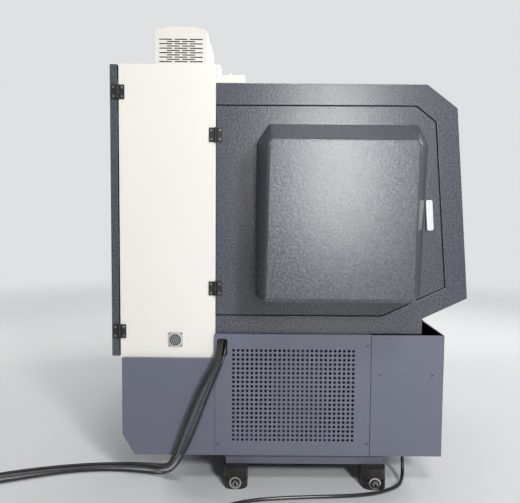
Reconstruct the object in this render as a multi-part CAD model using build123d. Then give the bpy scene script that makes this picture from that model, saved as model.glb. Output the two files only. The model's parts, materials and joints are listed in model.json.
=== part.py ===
from build123d import *
import math
import os

# Slant-bed CNC lathe, drawn in millimetres and seen from its headstock end.
# +X runs along the spindle towards the tailstock, -Y is the operator's side and +Z is up.
# The origin is on the floor under the middle of the machine, cables apart.

# Driving dimensions of the whole machine
machine_length = 2250  # end plane to right end
cover_depth = 250  # how far the end door's cover stands out
lip_to_rear = 1542  # front lip to the cabinet's rear door
console_depth = 40  # control console in front of the lip
stop_height = 35  # emergency stop in front of the console
sheet = 3  # housing sheet
floor_to_base = 143
base_top = 679
shelf_top = 570  # under the electrical cabinet
enclosure_top = 1750
running = 0.05  # radial clearance of a turning or sliding shaft
loose = 0.3  # clearance between other pieces that move past each other

# Planes that everything else is measured from
half_depth = (lip_to_rear + console_depth + stop_height) / 2
half_length = (machine_length + cover_depth) / 2
end_x = -half_length + cover_depth
right_x = half_length
cover_x = -half_length
console_y = -half_depth + stop_height
lip_y = console_y + console_depth

# Rear door and electrical cabinet
rear_door_depth = 32
rear_door_gap = 5
cabinet_depth = 413
cabinet_length = 900
cabinet_rise = 78  # cabinet's roof above the enclosure's
cabinet_top = enclosure_top + cabinet_rise
rear_y = half_depth
cabinet_rear_y = rear_y - rear_door_depth - rear_door_gap
wall_y = cabinet_rear_y - cabinet_depth  # rear wall of the enclosure
cabinet_x = end_x + cabinet_length

# Enclosure outline, measured from its rear wall
roof_depth = 897
chamfer_y = wall_y - 1028
chamfer_z = 1652
lip_z = 838
skirt_y = wall_y - 900
skirt_z = 748
end_frame_depth = 30
outline = [
    (wall_y, base_top),
    (wall_y, enclosure_top),
    (wall_y - roof_depth, enclosure_top),
    (chamfer_y, chamfer_z),
    (lip_y, lip_z),
    (skirt_y, skirt_z),
    (skirt_y, base_top),
]
panel_x = end_x + end_frame_depth  # where the long panels begin
right_panel_depth = 20
panel_end_x = right_x - right_panel_depth

# Base
base_step = 20  # the base stands out past the enclosure's end
base_x = end_x - base_step
base_rear_y = wall_y + 403
mid_y = wall_y - 677  # between the motor room and the tank
base_front_y = wall_y - 992
base_wall = 8
base_cut = 53
base_cut_height = 91
split_z = 512  # coolant tank below, chip tray above
tank_end_x = right_x - 70
seam = 1

# Perforated panel, with every second hole of the 20 mm grid
hole_pitch = 40
hole_radius = 5.5
hole_columns = 14
hole_rows = 11
first_hole_y = wall_y - 78
first_hole_z = 208.5

# Cable outlet
outlet_y = wall_y - 31.5
outlet_width = 45
outlet_low = 583
outlet_height = 76
outlet_corner = 12
exit_x = end_x - 1  # where the cables leave the clamp inside the base
exit_z = 648
clamp_face = 15  # half the clamp's sloping face, in X and in Z

# Beams and levelling feet
beam_low = 90
beam_width = 100
beam_front_y = wall_y - 748
beam_rear_y = wall_y - 47
beam_setback = 15
foot_width = 105
foot_length = 150
foot_corner = 38
foot_reach = 55  # how far a foot stands out of its beam
screw_reach = 18
screw_z = 29  # the feet's adjusting screws
foot_rows = (wall_y - 92, wall_y - 700)
foot_lower = 36
wedge_rise = 12
wedge_step = 6  # the upper block is this much shorter at each end

# Spindle line
spindle_y = wall_y - 540
spindle_z = 1150
bore_radius = 36
front_journal = 60
rear_journal = 45
nose_radius = 95
housing_radius = 80
head_rear_x = end_x + 140
head_front_x = head_rear_x + 430
nose_x = head_front_x + 30
bearing_width = 60
front_seat = 160  # end of the front journal, behind the nose
middle_seat = 380  # where the rear journal's diameter begins
pulley_width = 80
pulley_x = end_x + 30
spindle_pulley_radius = 110
motor_pulley_radius = 80
belt_thickness = 8
draw_wall = 6

# Chuck and its jaws
chuck_radius = 125
chuck_length = 100
jaw_width = 36
jaw_depth = 22
jaw_inner = 52
jaw_outer = 118
jaw_step = 84
jaw_low = 40
jaw_high = 66

# Spindle motor in the base
motor_y = wall_y - 378
motor_z = 400
motor_radius = 120
motor_length = 440

# Slanted bed: u runs up the slope, n stands off it, and the spindle is at u = 0
slant = 45
centre_height = 300
bed_y = spindle_y + centre_height * math.sin(math.radians(slant))
bed_z = spindle_z - centre_height * math.cos(math.radians(slant))
bed_end_x = right_x - 350
bed_high = 380
bed_rear_y = wall_y - 38
way_height = 40
saddle_ways = ((80, 140), (280, 340))
tail_ways = ((-210, -150), (-60, 0))
screw_u = 210
screw_n = 22
screw_radius = 16
screw_bracket = 40
screw_start_x = nose_x

# Carriage, cross slide and turret
disc_x = nose_x + 400  # rear face of the tool disc
saddle_x = disc_x + 10
saddle_length = 250
saddle_u = (60, 360)
saddle_top = 110
x_motor_n = 70
slide_u = (230, 470)
slide_top = 180
slide_margin = 10  # the slide is this much shorter than the saddle at each side
rail_width = 40  # the saddle's two rails, which run up the slope
rail_height = 20
rail_inset = 50
turret_u = 400
turret_size = 220
turret_depth = 230
disc_radius = 160
disc_thickness = 70
stations = 8
tool_bore = 20
tool_bore_depth = 50
tool_reach = 45
tool_shank = 25

# Tailstock
tail_x = bed_end_x - 460
tail_length = 250
barrel_radius = 62
quill_radius = 35
quill_nose_x = tail_x - 40
centre_shank = 14
centre_radius = 26
centre_tip_x = quill_nose_x - 70

# End door, its cover and its lock
door_depth = 20
door_seam = 5
door_outline = [
    (wall_y - 3, 761),
    (wall_y - 3, 1654),
    (wall_y - 852, 1656),
    (wall_y - 934, 1592),
    (wall_y - 991, 887),
    (wall_y - 723, 762),
]
cover_base = [
    (wall_y - 175, 839),
    (wall_y - 175, 1500),
    (wall_y - 226, 1579),
    (wall_y - 862, 1579),
    (wall_y - 904, 1494),
    (wall_y - 885, 845),
]
cover_face = [
    (wall_y - 212, 853),
    (wall_y - 222, 1470),
    (wall_y - 234, 1482),
    (wall_y - 790, 1480),
    (wall_y - 802, 1468),
    (wall_y - 792, 853),
]
cover_flange = 4
lock_y = wall_y - 911.5
lock_z = 1251
lock_length = 119
lock_top = 11  # the lever's short end, above its boss
lock_width = 28
lock_lean = 4  # degrees, along the door's edge
lock_boss = 9

# Hinges
hinge_height = 60
hinge_leaf = 28
hinge_thickness = 6
knuckle_radius = 7
hinge_pin = 3
knuckle_gap = 0.3
end_hinges = (1532, 875)
rear_hinges = (1709, 685)

# Operator's door, in the slope of the front wall
opening_x = (nose_x + 20, nose_x + 920)
opening_v = (40, 740)
slider_lap = 30
slider_gap = 9
slider_depth = 22
window_margin = 130
glass = 6
handle_reach = 50
handle_v = (300, 520)

# Control console
console_x = (right_x - 610, right_x - 120)
console_z = (1010, 1540)
screen_x = (console_x[0] + 40, console_x[0] + 340)
screen_z = (1280, 1500)
screen_depth = 5
button_radius = 11
stop_radius = 20
knob_radius = 16
handwheel_radius = 32
stop_travel = 5
button_travel = 4

# Mounting plate in the cabinet, with its rows of drives and contactors and its transformer
plate_standoff = 20
plate_margin = 60
plate_thickness = 4
drive_size = (110, 200, 360)
drive_pitch = 150
drive_count = 4
contactor_size = (55, 90, 90)
contactor_pitch = 80
contactor_count = 8
contactor_drop = 150  # from the drives down to the contactors
transformer_size = (280, 170, 220)
row_margin = 50  # from the plate's edge to what stands on it

# Air conditioner on the cabinet's roof
cooler_x = end_x + 360
cooler_y = (wall_y + cabinet_rear_y) / 2 - 4
cooler_length = 380
cooler_width = 253
cooler_height = 283
cooler_shoulder = 57
cooler_fall = 16
slot_width = 64
slot_height = 5.5
slot_pitch = 75
slot_rows = 11
row_pitch = 10.7
slots_low = cabinet_top + 113.5

# Round socket on the cabinet and trunk on the roof
socket_y = wall_y + 173
socket_z = 650
socket_plate = 65
socket_bore = 24.5
socket_reach = 12
trunk_thickness = 18
trunk_length = 122
trunk_height = 34
trunk_depth = 60


def block(x0, x1, y0, y1, z0, z1):
    """A box between two corners."""
    size = Box(x1 - x0, y1 - y0, z1 - z0)
    return Pos((x0 + x1) / 2, (y0 + y1) / 2, (z0 + z1) / 2) * size


def prism(points, x0, x1):
    """A Y-Z outline drawn out along X."""
    face = make_face(Polyline(*[(x0, y, z) for y, z in points], close=True))
    return extrude(face, amount=x1 - x0, dir=(1, 0, 0))


def rod(x0, x1, y, z, radius):
    """A round bar along X."""
    shape = Cylinder(radius, x1 - x0, align=(Align.CENTER, Align.CENTER, Align.MIN))
    return Pos(x0, y, z) * Rot(0, 90, 0) * shape


def cross_rod(x, y0, y1, z, radius):
    """A round bar along Y."""
    return Pos(x, (y0 + y1) / 2, z) * Rot(90, 0, 0) * Cylinder(radius, y1 - y0)


def post(x, y, z0, z1, radius):
    """A round bar along Z."""
    return Pos(x, y, (z0 + z1) / 2) * Cylinder(radius, z1 - z0)


def inset(points, distance):
    """An outline moved inwards by a wall, or outwards by a negative one."""
    count = len(points)
    area = sum(
        points[i - 1][0] * points[i][1] - points[i][0] * points[i - 1][1]
        for i in range(count)
    )
    side = 1 if area > 0 else -1
    moved = []
    for i in range(count):
        before, here, after = points[i - 1], points[i], points[(i + 1) % count]
        first = math.atan2(here[1] - before[1], here[0] - before[0]) + side * math.pi / 2
        second = math.atan2(after[1] - here[1], after[0] - here[0]) + side * math.pi / 2
        middle = (math.cos(first) + math.cos(second), math.sin(first) + math.sin(second))
        scale = distance / (1 + math.cos(first - second))
        moved.append((here[0] + middle[0] * scale, here[1] + middle[1] * scale))
    return moved


def strip(first, last, x0, x1):
    """Part of the enclosure's wall, between two corners of its outline."""
    inner = inset(outline, sheet)
    return prism(outline[first : last + 1] + inner[first : last + 1][::-1], x0, x1)


bed = Plane(
    origin=(0, bed_y, bed_z),
    x_dir=(1, 0, 0),
    z_dir=(0, -math.sin(math.radians(slant)), math.cos(math.radians(slant))),
)
front_tilt = math.atan2(chamfer_y - lip_y, chamfer_z - lip_z)
front = Plane(
    origin=(0, lip_y, lip_z),
    x_dir=(1, 0, 0),
    z_dir=(0, -math.cos(front_tilt), math.sin(front_tilt)),
)


def front_wall_y(z):
    """Where the sloping front wall is at a height."""
    return lip_y + (z - lip_z) * math.tan(front_tilt)


def bed_point(u, n):
    """The Y and Z of a point of the slanted bed."""
    place = bed.from_local_coords((0, u, n))
    return place.Y, place.Z


beam_starts = (
    end_x + beam_setback,
    (end_x + right_x - beam_width) / 2,
    right_x - beam_setback - beam_width,
)


def base_frame():
    """Welded base: motor room, cabinet shelf, cross beams and cable clamp."""
    middle = [
        (mid_y, floor_to_base),
        (wall_y, floor_to_base),
        (wall_y, base_top),
        (mid_y, base_top),
    ]
    shelf = [
        (wall_y, floor_to_base),
        (base_rear_y - base_cut, floor_to_base),
        (base_rear_y, floor_to_base + base_cut_height),
        (base_rear_y, shelf_top),
        (wall_y, shelf_top),
    ]
    start, end = base_x + sheet, right_x - sheet
    frame = prism(middle, start, end) - prism(inset(middle, base_wall), start, end)
    frame += prism(shelf, start, end) - prism(inset(shelf, base_wall), start, end)
    end_plate = shelf.copy()
    end_plate[0] = (wall_y + seam, floor_to_base)
    end_plate[-1] = (wall_y + seam, shelf_top)
    frame += prism(end_plate, base_x, start)
    frame += prism(middle, end, right_x) + prism(shelf, end, right_x)
    belt_gap = block(
        pulley_x - 15,
        pulley_x + pulley_width + 15,
        spindle_y - 60,
        motor_y + 80,
        base_top - base_wall,
        base_top,
    )
    frame -= belt_gap
    for x in beam_starts:
        frame += block(x, x + beam_width, beam_front_y, beam_rear_y, beam_low, floor_to_base)
    return frame + cable_clamp()


def cable_clamp():
    """Sloping clamp under the base's top, which the cables come out of."""
    side = outlet_y - outlet_width / 2 - 8
    low_x, high_x = exit_x + clamp_face, exit_x - clamp_face
    low, high = exit_z - clamp_face, exit_z + clamp_face
    profile = [
        (high_x, high),
        (low_x, low),
        (low_x + 14, low),
        (low_x + 14, base_top - base_wall),
        (high_x, base_top - base_wall),
    ]
    face = make_face(Polyline(*[(x, side, z) for x, z in profile], close=True))
    return extrude(face, amount=wall_y - side, dir=(0, 1, 0))


def perforated_panel():
    """Motor room's end panel, with its grid of holes and the cable outlet."""
    plate = block(base_x, base_x + sheet, mid_y + seam, wall_y - seam, floor_to_base, base_top)
    hole = RegularPolygon(hole_radius, 6)
    grid = []
    for column in range(hole_columns):
        for row in range(hole_rows):
            place = Pos(
                base_x - 1,
                first_hole_y - column * hole_pitch,
                first_hole_z + row * hole_pitch,
            )
            grid.append(place * extrude(Plane.YZ * hole, sheet + 2))
    plate -= grid
    mouth = extrude(
        Plane.YZ * RectangleRounded(outlet_width, outlet_height, outlet_corner),
        sheet + 2,
    )
    return plate - Pos(base_x - 1, outlet_y, outlet_low + outlet_height / 2) * mouth


def levelling_feet():
    """Six wedge feet, each with two blocks, a stud, an adjusting screw and its nut."""
    feet = []
    for beam_x in beam_starts:
        for y in foot_rows:
            x = beam_x - foot_reach
            end = x + foot_length
            lower = [(x, 0), (end, 0), (end, foot_lower + wedge_rise), (x, foot_lower)]
            step_rise = wedge_rise * wedge_step / foot_length
            upper = [
                (x + wedge_step, foot_lower + step_rise),
                (end - wedge_step, foot_lower + wedge_rise - step_rise),
                (end - wedge_step, beam_low),
                (x + wedge_step, beam_low),
            ]
            for points in (lower, upper):
                side = y - foot_width / 2
                face = make_face(Polyline(*[(px, side, pz) for px, pz in points], close=True))
                half = extrude(face, amount=foot_width, dir=(0, 1, 0))
                feet.append(fillet(half.edges().filter_by(Axis.Z), foot_corner))
            feet.append(rod(x - screw_reach, x, y, screw_z, 7))
            nut = Plane.YZ * RegularPolygon(13, 6)
            feet.append(
                Pos(x - 12, y, screw_z) * extrude(nut - Plane.YZ * Circle(7), 12)
            )
    return Compound(children=feet)


def coolant_tank():
    """Open coolant tank with its outlet stub underneath."""
    rear = mid_y - seam
    tank = block(base_x, tank_end_x, base_front_y, rear, floor_to_base, split_z)
    tank -= block(
        base_x + sheet,
        tank_end_x - sheet,
        base_front_y + sheet,
        rear - sheet,
        floor_to_base + sheet,
        split_z,
    )
    stub = Vector(*outlet_stub) + route_shift
    return tank + post(stub.X, stub.Y, stub.Z, floor_to_base, 15)


def chip_tray():
    """Open chip tray on the tank, with the sloping flange under the enclosure's skirt."""
    rear = mid_y - seam
    tray = block(base_x, tank_end_x, base_front_y, rear, split_z, base_top)
    tray -= block(
        base_x + sheet,
        tank_end_x - sheet,
        base_front_y + sheet,
        rear - sheet,
        split_z + sheet,
        base_top,
    )
    flange = [
        (base_front_y, base_top),
        (skirt_y - sheet, skirt_z - 6),
        (skirt_y - sheet, skirt_z - 6 - 2 * sheet),
        (base_front_y + 2 * sheet, base_top),
    ]
    return tray + prism(flange, end_x, tank_end_x)


def bed_casting():
    """Slanted bed with its box ways and the screw's end brackets."""
    low = (base_top - bed_z) / math.sin(math.radians(slant))
    top = bed_point(bed_high, 0)
    foot = bed_point(low, 0)
    casting = prism(
        [
            foot,
            top,
            (bed_rear_y, top[1] - (bed_rear_y - top[0])),
            (bed_rear_y, base_top),
        ],
        head_rear_x,
        bed_end_x,
    )
    for u0, u1 in saddle_ways + tail_ways:
        casting += bed * block(head_front_x + 10, bed_end_x, u0, u1, -5, way_height)
    for x in (screw_start_x, bed_end_x - screw_bracket):
        casting += bed * block(x, x + screw_bracket, screw_u - 30, screw_u + 30, -5, 50)
    y, z = bed_point(screw_u, screw_n)
    hole = rod(screw_start_x - 1, bed_end_x + 1, y, z, screw_radius + running)
    return casting - hole


def headstock_casting():
    """Spindle housing on the bed, bored through for the bearings."""
    housing = rod(head_rear_x, head_front_x, spindle_y, spindle_z, 130)
    housing += bed * block(head_rear_x, head_front_x, -130, 130, 0, centre_height)
    housing += bed * block(head_rear_x, head_front_x, -190, 190, 0, 60)
    return housing - rod(head_rear_x, head_front_x, spindle_y, spindle_z, housing_radius)


def spindle_bearings():
    """Two front bearings and one rear bearing."""
    seats = (
        (head_front_x - 10 - bearing_width, front_journal),
        (head_front_x - 10 - 2 * bearing_width, front_journal),
        (head_rear_x + 10, rear_journal),
    )
    rings = []
    for x, journal in seats:
        ring = rod(x, x + bearing_width - 1, spindle_y, spindle_z, housing_radius - 0.02)
        rings.append(ring - rod(x, x + bearing_width, spindle_y, spindle_z, journal + running))
    return Compound(children=rings)


def spindle():
    """Hollow spindle with its nose flange and stepped journals."""
    tail_x_end = pulley_x - 15
    body = rod(nose_x - 28, nose_x, spindle_y, spindle_z, nose_radius)
    body += rod(nose_x - front_seat, nose_x - 28, spindle_y, spindle_z, front_journal)
    body += rod(
        nose_x - middle_seat, nose_x - front_seat, spindle_y, spindle_z, front_journal - 6
    )
    body += rod(tail_x_end, nose_x - middle_seat, spindle_y, spindle_z, rear_journal)
    return body - rod(tail_x_end - 1, nose_x + 1, spindle_y, spindle_z, bore_radius)


def grooved_pulley(x, y, z, radius, bore):
    """Belt pulley with two rims."""
    wheel = rod(x, x + pulley_width, y, z, radius)
    wheel += rod(x, x + 8, y, z, radius + belt_thickness + 4)
    wheel += rod(x + pulley_width - 8, x + pulley_width, y, z, radius + belt_thickness + 4)
    return wheel - rod(x, x + pulley_width, y, z, bore)


def belt_loop(grow):
    """The straight-sided loop round both pulleys, grown by a distance."""
    start = pulley_x + 10
    circles = [
        Pos(spindle_y, spindle_z) * Circle(spindle_pulley_radius + grow),
        Pos(motor_y, motor_z) * Circle(motor_pulley_radius + grow),
    ]
    hull = make_hull(circles[0].edges() + circles[1].edges())
    return Pos(start, 0, 0) * extrude(Plane.YZ * hull, pulley_width - 20)


def drive_belt():
    """Belt from the motor up to the spindle."""
    return belt_loop(loose + belt_thickness) - belt_loop(loose)


def spindle_motor():
    """Motor on its foot in the base, with its terminal box."""
    start = head_rear_x - 10
    body = rod(start, start + motor_length, motor_y, motor_z, motor_radius)
    body += block(
        start,
        start + 12,
        motor_y - motor_radius,
        motor_y + motor_radius,
        motor_z - motor_radius,
        motor_z + motor_radius,
    )
    body += block(
        start,
        start + motor_length - 60,
        motor_y - 100,
        motor_y + 100,
        floor_to_base + base_wall,
        motor_z - 90,
    )
    body += block(start + 60, start + 220, motor_y - 60, motor_y + 60, motor_z + 100, motor_z + 170)
    return body - rod(start - 1, start + 40, motor_y, motor_z, 19 + running)


def motor_pulley():
    """Motor's shaft end with its pulley."""
    wheel = grooved_pulley(pulley_x, motor_y, motor_z, motor_pulley_radius, 18)
    return wheel + rod(pulley_x, head_rear_x + 25, motor_y, motor_z, 19)


def chuck_body():
    """Three-jaw power chuck with radial slots."""
    body = rod(nose_x, nose_x + chuck_length, spindle_y, spindle_z, chuck_radius)
    body = chamfer(body.edges().filter_by(GeomType.CIRCLE).sort_by(Axis.X)[-1], 6)
    body -= rod(nose_x - 1, nose_x + chuck_length + 1, spindle_y, spindle_z, bore_radius)
    face_x = nose_x + chuck_length
    for i in range(3):
        slot = block(face_x - jaw_depth, face_x + 1, -jaw_width / 2, jaw_width / 2, 45, chuck_radius + 5)
        body -= Pos(0, spindle_y, spindle_z) * Rot(120 * i, 0, 0) * slot
    return body


def chuck_jaw(index):
    """One stepped jaw in its slot."""
    face_x = nose_x + chuck_length
    half = jaw_width / 2 - loose
    jaw = block(face_x - jaw_depth + loose, face_x + jaw_low, -half, half, jaw_inner, jaw_outer)
    jaw += block(face_x + jaw_low, face_x + jaw_high, -half, half, jaw_step, jaw_outer)
    return Pos(0, spindle_y, spindle_z) * Rot(120 * index, 0, 0) * jaw


def chuck_cylinder():
    """Rotary cylinder behind the spindle, in the end door's cover."""
    start = cover_x + 70
    body = rod(start + 30, end_x - 20, spindle_y, spindle_z, 105)
    body += rod(start, start + 30, spindle_y, spindle_z, 80)
    body += rod(end_x - 20, pulley_x - 15, spindle_y, spindle_z, 60)
    return body - rod(start - 1, pulley_x, spindle_y, spindle_z, bore_radius)


def draw_tube():
    """Tube through the spindle, from the cylinder to the chuck."""
    outer = bore_radius - running
    start, end = cover_x + 65, nose_x + 30
    tube = rod(start, end, spindle_y, spindle_z, outer)
    return tube - rod(start, end, spindle_y, spindle_z, outer - draw_wall)


def saddle():
    """Carriage on the upper ways, with the nut of its screw."""
    end = saddle_x + saddle_length
    low = way_height + loose
    plate = bed * block(saddle_x, end, saddle_u[0], saddle_u[1], low, saddle_top)
    for x in slide_rails():
        plate += bed * block(
            x, x + rail_width, *saddle_u, saddle_top - 1, saddle_top + rail_height
        )
    nut_x = saddle_x + 90
    plate += bed * block(nut_x, nut_x + 60, screw_u - 26, screw_u + 26, 3, low)
    y, z = bed_point(screw_u, screw_n)
    return plate - rod(nut_x - 1, nut_x + 61, y, z, screw_radius + running)


def slide_rails():
    """Where the saddle's rails start, in X."""
    return saddle_x + rail_inset, saddle_x + saddle_length - rail_inset - rail_width


def z_ball_screw():
    """Screw that drives the carriage along the bed."""
    y, z = bed_point(screw_u, screw_n)
    return rod(screw_start_x - 10, bed_end_x + 1, y, z, screw_radius)


def servo(length, size):
    """A servo motor, its flange at the local origin and its body along +X."""
    half = size / 2
    body = block(2, 14, -half, half, -half, half)
    body += rod(14, length - 40, 0, 0, half * 0.94)
    body += block(length - 40, length, -half * 0.8, half * 0.8, -half * 0.8, half * 0.8)
    return body


def x_servo_motor():
    """Motor at the upper end of the saddle."""
    place = bed * Pos(saddle_x + saddle_length / 2, saddle_u[1], x_motor_n)
    return place * Rot(0, 0, 90) * (servo(108, 72) + rod(0, 2, 0, 0, 30))


def z_servo_motor():
    """Motor at the bed's right end."""
    y, z = bed_point(screw_u, screw_n)
    motor = Pos(bed_end_x, y, z) * Rot(slant, 0, 0) * servo(190, 110)
    return motor + rod(bed_end_x, bed_end_x + 2, y, z, 50) - rod(bed_end_x, bed_end_x + 3, y, z, 20)


def cross_slide():
    """Slide that carries the turret up and down the slope."""
    start, end = saddle_x + slide_margin, saddle_x + saddle_length - slide_margin
    plate = bed * block(start, end, *slide_u, saddle_top + loose, slide_top)
    for x in slide_rails():
        groove = block(
            x - loose,
            x + rail_width + loose,
            slide_u[0] - 1,
            slide_u[1] + 1,
            saddle_top,
            saddle_top + rail_height + loose,
        )
        plate -= bed * groove
    return plate


def turret_centre():
    """The turret's axis, in Y and Z."""
    return bed_point(turret_u, centre_height)


def turret_body():
    """Indexing housing on the cross slide, with its motor behind."""
    half = turret_size / 2
    start = saddle_x + 1
    end = saddle_x + turret_depth
    body = bed * block(
        start,
        end,
        turret_u - half,
        turret_u + half,
        slide_top,
        centre_height + half,
    )
    body = chamfer(body.edges().filter_by(Axis.X).sort_by(Axis.Z)[-1], 40)
    y, z = turret_centre()
    body += rod(disc_x + loose, start, y, z, 95)
    return body + rod(end, end + 90, y, z, 60)


def turret_disc():
    """Eight-sided tool disc: bores in every second side, tool holders on the others."""
    y, z = turret_centre()
    flat = disc_radius / math.cos(math.pi / stations)
    outline_face = Plane.YZ * (Rot(0, 0, 180 / stations) * RegularPolygon(flat, stations))
    front_x = disc_x - disc_thickness
    disc = Pos(front_x, y, z) * Rot(slant, 0, 0) * extrude(outline_face, disc_thickness)
    disc += rod(front_x - 12, front_x, y, z, 60)
    for i in range(0, stations, 2):
        turn = Pos(disc_x, y, z) * Rot(slant + 360 / stations * i, 0, 0)
        disc -= turn * post(
            -disc_thickness / 2, 0, disc_radius - tool_bore_depth, disc_radius + 1, tool_bore
        )
    return Compound(children=[disc] + turret_tools())


def turret_tools():
    """Tool holders with square shanks on the other sides."""
    y, z = turret_centre()
    tools = []
    for i in range(1, stations, 2):
        turn = Pos(disc_x, y, z) * Rot(slant + 360 / stations * i, 0, 0)
        holder = block(-disc_thickness + 5, -5, -30, 30, disc_radius, disc_radius + 28)
        half = tool_shank / 2
        shank = block(-55, -55 + tool_shank, -half, half, disc_radius + 28, disc_radius + tool_reach)
        tools.append(turn * (holder + shank))
    return tools


def tailstock_body():
    """Tailstock on the lower ways, bored for its quill."""
    end = tail_x + tail_length
    low = way_height + loose
    body = bed * block(tail_x, end, -215, 15, low, 110)
    body += bed * block(tail_x + 10, end - 10, -90, 50, 110, centre_height)
    body += rod(tail_x, end, spindle_y, spindle_z, barrel_radius)
    return body - rod(tail_x - 1, end - 20, spindle_y, spindle_z, quill_radius + running)


def tailstock_quill():
    """Quill with the socket of its centre."""
    end = tail_x + tail_length - 30
    quill = rod(quill_nose_x, end, spindle_y, spindle_z, quill_radius)
    return quill - rod(quill_nose_x, quill_nose_x + 70, spindle_y, spindle_z, centre_shank + running)


def live_centre():
    """Turning centre with its sixty-degree point."""
    body = rod(quill_nose_x - loose, quill_nose_x + 60, spindle_y, spindle_z, centre_shank)
    cone = Cone(centre_radius, 1, 38, align=(Align.CENTER, Align.CENTER, Align.MIN))
    body += rod(centre_tip_x + 38, quill_nose_x - loose, spindle_y, spindle_z, centre_radius)
    return body + Pos(centre_tip_x + 38, spindle_y, spindle_z) * Rot(0, -90, 0) * cone


def end_frame():
    """Open frame round the end door, with the stop behind its seam."""
    frame = prism(outline, end_x, panel_x)
    opening = inset(door_outline, -door_seam)
    opening = [(min(y, wall_y + 1), z) for y, z in opening]
    opening[0] = (wall_y + 1, opening[0][1])
    opening[1] = (wall_y + 1, opening[1][1])
    stop = inset(door_outline, 12)
    stop[0] = (wall_y + 1, stop[0][1])
    stop[1] = (wall_y + 1, stop[1][1])
    frame -= prism(opening, end_x - 1, panel_x - 5)
    return frame - prism(stop, end_x - 1, panel_x + 1)


def front_panel():
    """Sloping front wall with the operator's opening and the door's rail."""
    wall = strip(3, 6, panel_x, panel_end_x)
    wall -= front * block(opening_x[0], opening_x[1], opening_v[0], opening_v[1], -sheet - 2, 2)
    rail_low = opening_v[0] - slider_lap - loose
    far = -sheet - slider_gap - slider_depth - 4
    rail = block(opening_x[0] - 50, panel_end_x, rail_low - 8, rail_low, far, -sheet)
    return wall + front * rail


def rear_and_roof_panel():
    """Rear wall and roof with its front chamfer, one folded sheet."""
    return strip(0, 3, panel_x, panel_end_x)


def right_panel():
    """Right end of the enclosure, a shallow pan."""
    pan = prism(outline, panel_end_x, right_x)
    return pan - prism(inset(outline, sheet), panel_end_x, right_x - sheet)


def end_door():
    """End door, folded at its edges, open behind its cover."""
    leaf = prism(door_outline, end_x, end_x + door_depth)
    leaf -= prism(inset(door_outline, sheet), end_x + sheet, end_x + door_depth)
    return leaf - prism(inset(cover_base, 25), end_x - 1, end_x + sheet + 1)


def tapered(base_points, face_points, x0, x1):
    """A solid between two outlines with the same corners."""
    lower = make_face(Polyline(*[(x0, y, z) for y, z in base_points], close=True))
    upper = make_face(Polyline(*[(x1, y, z) for y, z in face_points], close=True))
    return Solid.make_loft([lower.face().outer_wire(), upper.face().outer_wire()], True)


def end_door_cover():
    """Tapered cover over the rotary cylinder."""
    shell = Part() + tapered(cover_base, cover_face, end_x, cover_x)
    inner = tapered(inset(cover_base, sheet), inset(cover_face, sheet), end_x, cover_x + sheet)
    flange = prism(inset(cover_base, -cover_flange), end_x - sheet, end_x)
    flange -= prism(inset(cover_base, sheet), end_x - sheet, end_x)
    return shell - inner + flange


def end_door_lock():
    """Lock lever that hangs on its turning boss."""
    lever = block(
        end_x - 16,
        end_x - 4,
        lock_y - lock_width / 2,
        lock_y + lock_width / 2,
        lock_z - lock_length,
        lock_z + lock_top,
    )
    lever = fillet(lever.edges().filter_by(Axis.X), 8)
    boss = Pos(0, lock_y, lock_z)
    lever = boss * Rot(-lock_lean, 0, 0) * boss.inverse() * lever
    return lever + rod(end_x - 4, end_x - loose, lock_y, lock_z, lock_boss)


def hinge_line(y):
    """The X and Y of a hinge's pin."""
    return end_x - knuckle_radius, y


def hinge_half(y, z, side, moving):
    """Half of a hinge: a leaf on one side of the pin, with its own knuckles."""
    x, pin_y = hinge_line(y)
    third = hinge_height / 3
    low, high = z - hinge_height / 2, z + hinge_height / 2
    near, far = sorted((pin_y + side * (knuckle_radius + 1), pin_y + side * hinge_leaf))
    leaf = block(end_x - hinge_thickness, end_x, near, far, low, high)
    if moving:
        spans = [(low + third + knuckle_gap, high - third - knuckle_gap)]
    else:
        spans = [(low, low + third), (high - third, high)]
    web = sorted((pin_y, pin_y + side * (knuckle_radius + 2)))
    for z0, z1 in spans:
        leaf += post(x, pin_y, z0, z1, knuckle_radius)
        leaf += block(end_x - hinge_thickness, end_x - 1, web[0], web[1], z0, z1)
    if moving:
        return leaf - post(x, pin_y, low, high, hinge_pin + running)
    return leaf + post(x, pin_y, low - 2, high + 2, hinge_pin)


def hinges(places, moving):
    """The same half of several hinges, as separate solids."""
    return Compound(children=[hinge_half(y, z, side, moving) for y, z, side in places])


end_hinge_y = wall_y
rear_hinge_y = rear_y - rear_door_depth - rear_door_gap / 2
end_places = [(end_hinge_y, z, 1) for z in end_hinges]
rear_places = [(rear_hinge_y, z, -1) for z in rear_hinges]


def sliding_door():
    """Operator's door behind the front wall, open for its window."""
    x0, x1 = opening_x[0] - slider_lap, opening_x[1] + slider_lap
    v0, v1 = opening_v[0] - slider_lap, opening_v[1] + slider_lap
    near = -sheet - slider_gap
    door = block(x0, x1, v0, v1, near - slider_depth, near)
    gap = window_margin
    door -= block(x0 + gap, x1 - gap, v0 + gap, v1 - gap, near - slider_depth - 1, near + 1)
    rebate = block(x0 + gap - 12, x1 - gap + 12, v0 + gap - 12, v1 - gap + 12, near - glass, near + 1)
    return front * (door - rebate)


def door_window():
    """Laminated window in the door's rebate."""
    x0, x1 = opening_x[0] - slider_lap, opening_x[1] + slider_lap
    v0, v1 = opening_v[0] - slider_lap, opening_v[1] + slider_lap
    near = -sheet - slider_gap
    gap = window_margin - 12
    return front * block(x0 + gap, x1 - gap, v0 + gap, v1 - gap, near - glass, near)


def door_handle():
    """Bar handle on two feet."""
    x = opening_x[0] + 40
    near = -sheet - slider_gap
    bar = block(x - 8, x + 8, handle_v[0], handle_v[1], handle_reach - 14, handle_reach)
    for v in (handle_v[0], handle_v[1] - 20):
        bar += block(x - 8, x + 8, v, v + 20, near, handle_reach - 14)
    return front * bar


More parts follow.
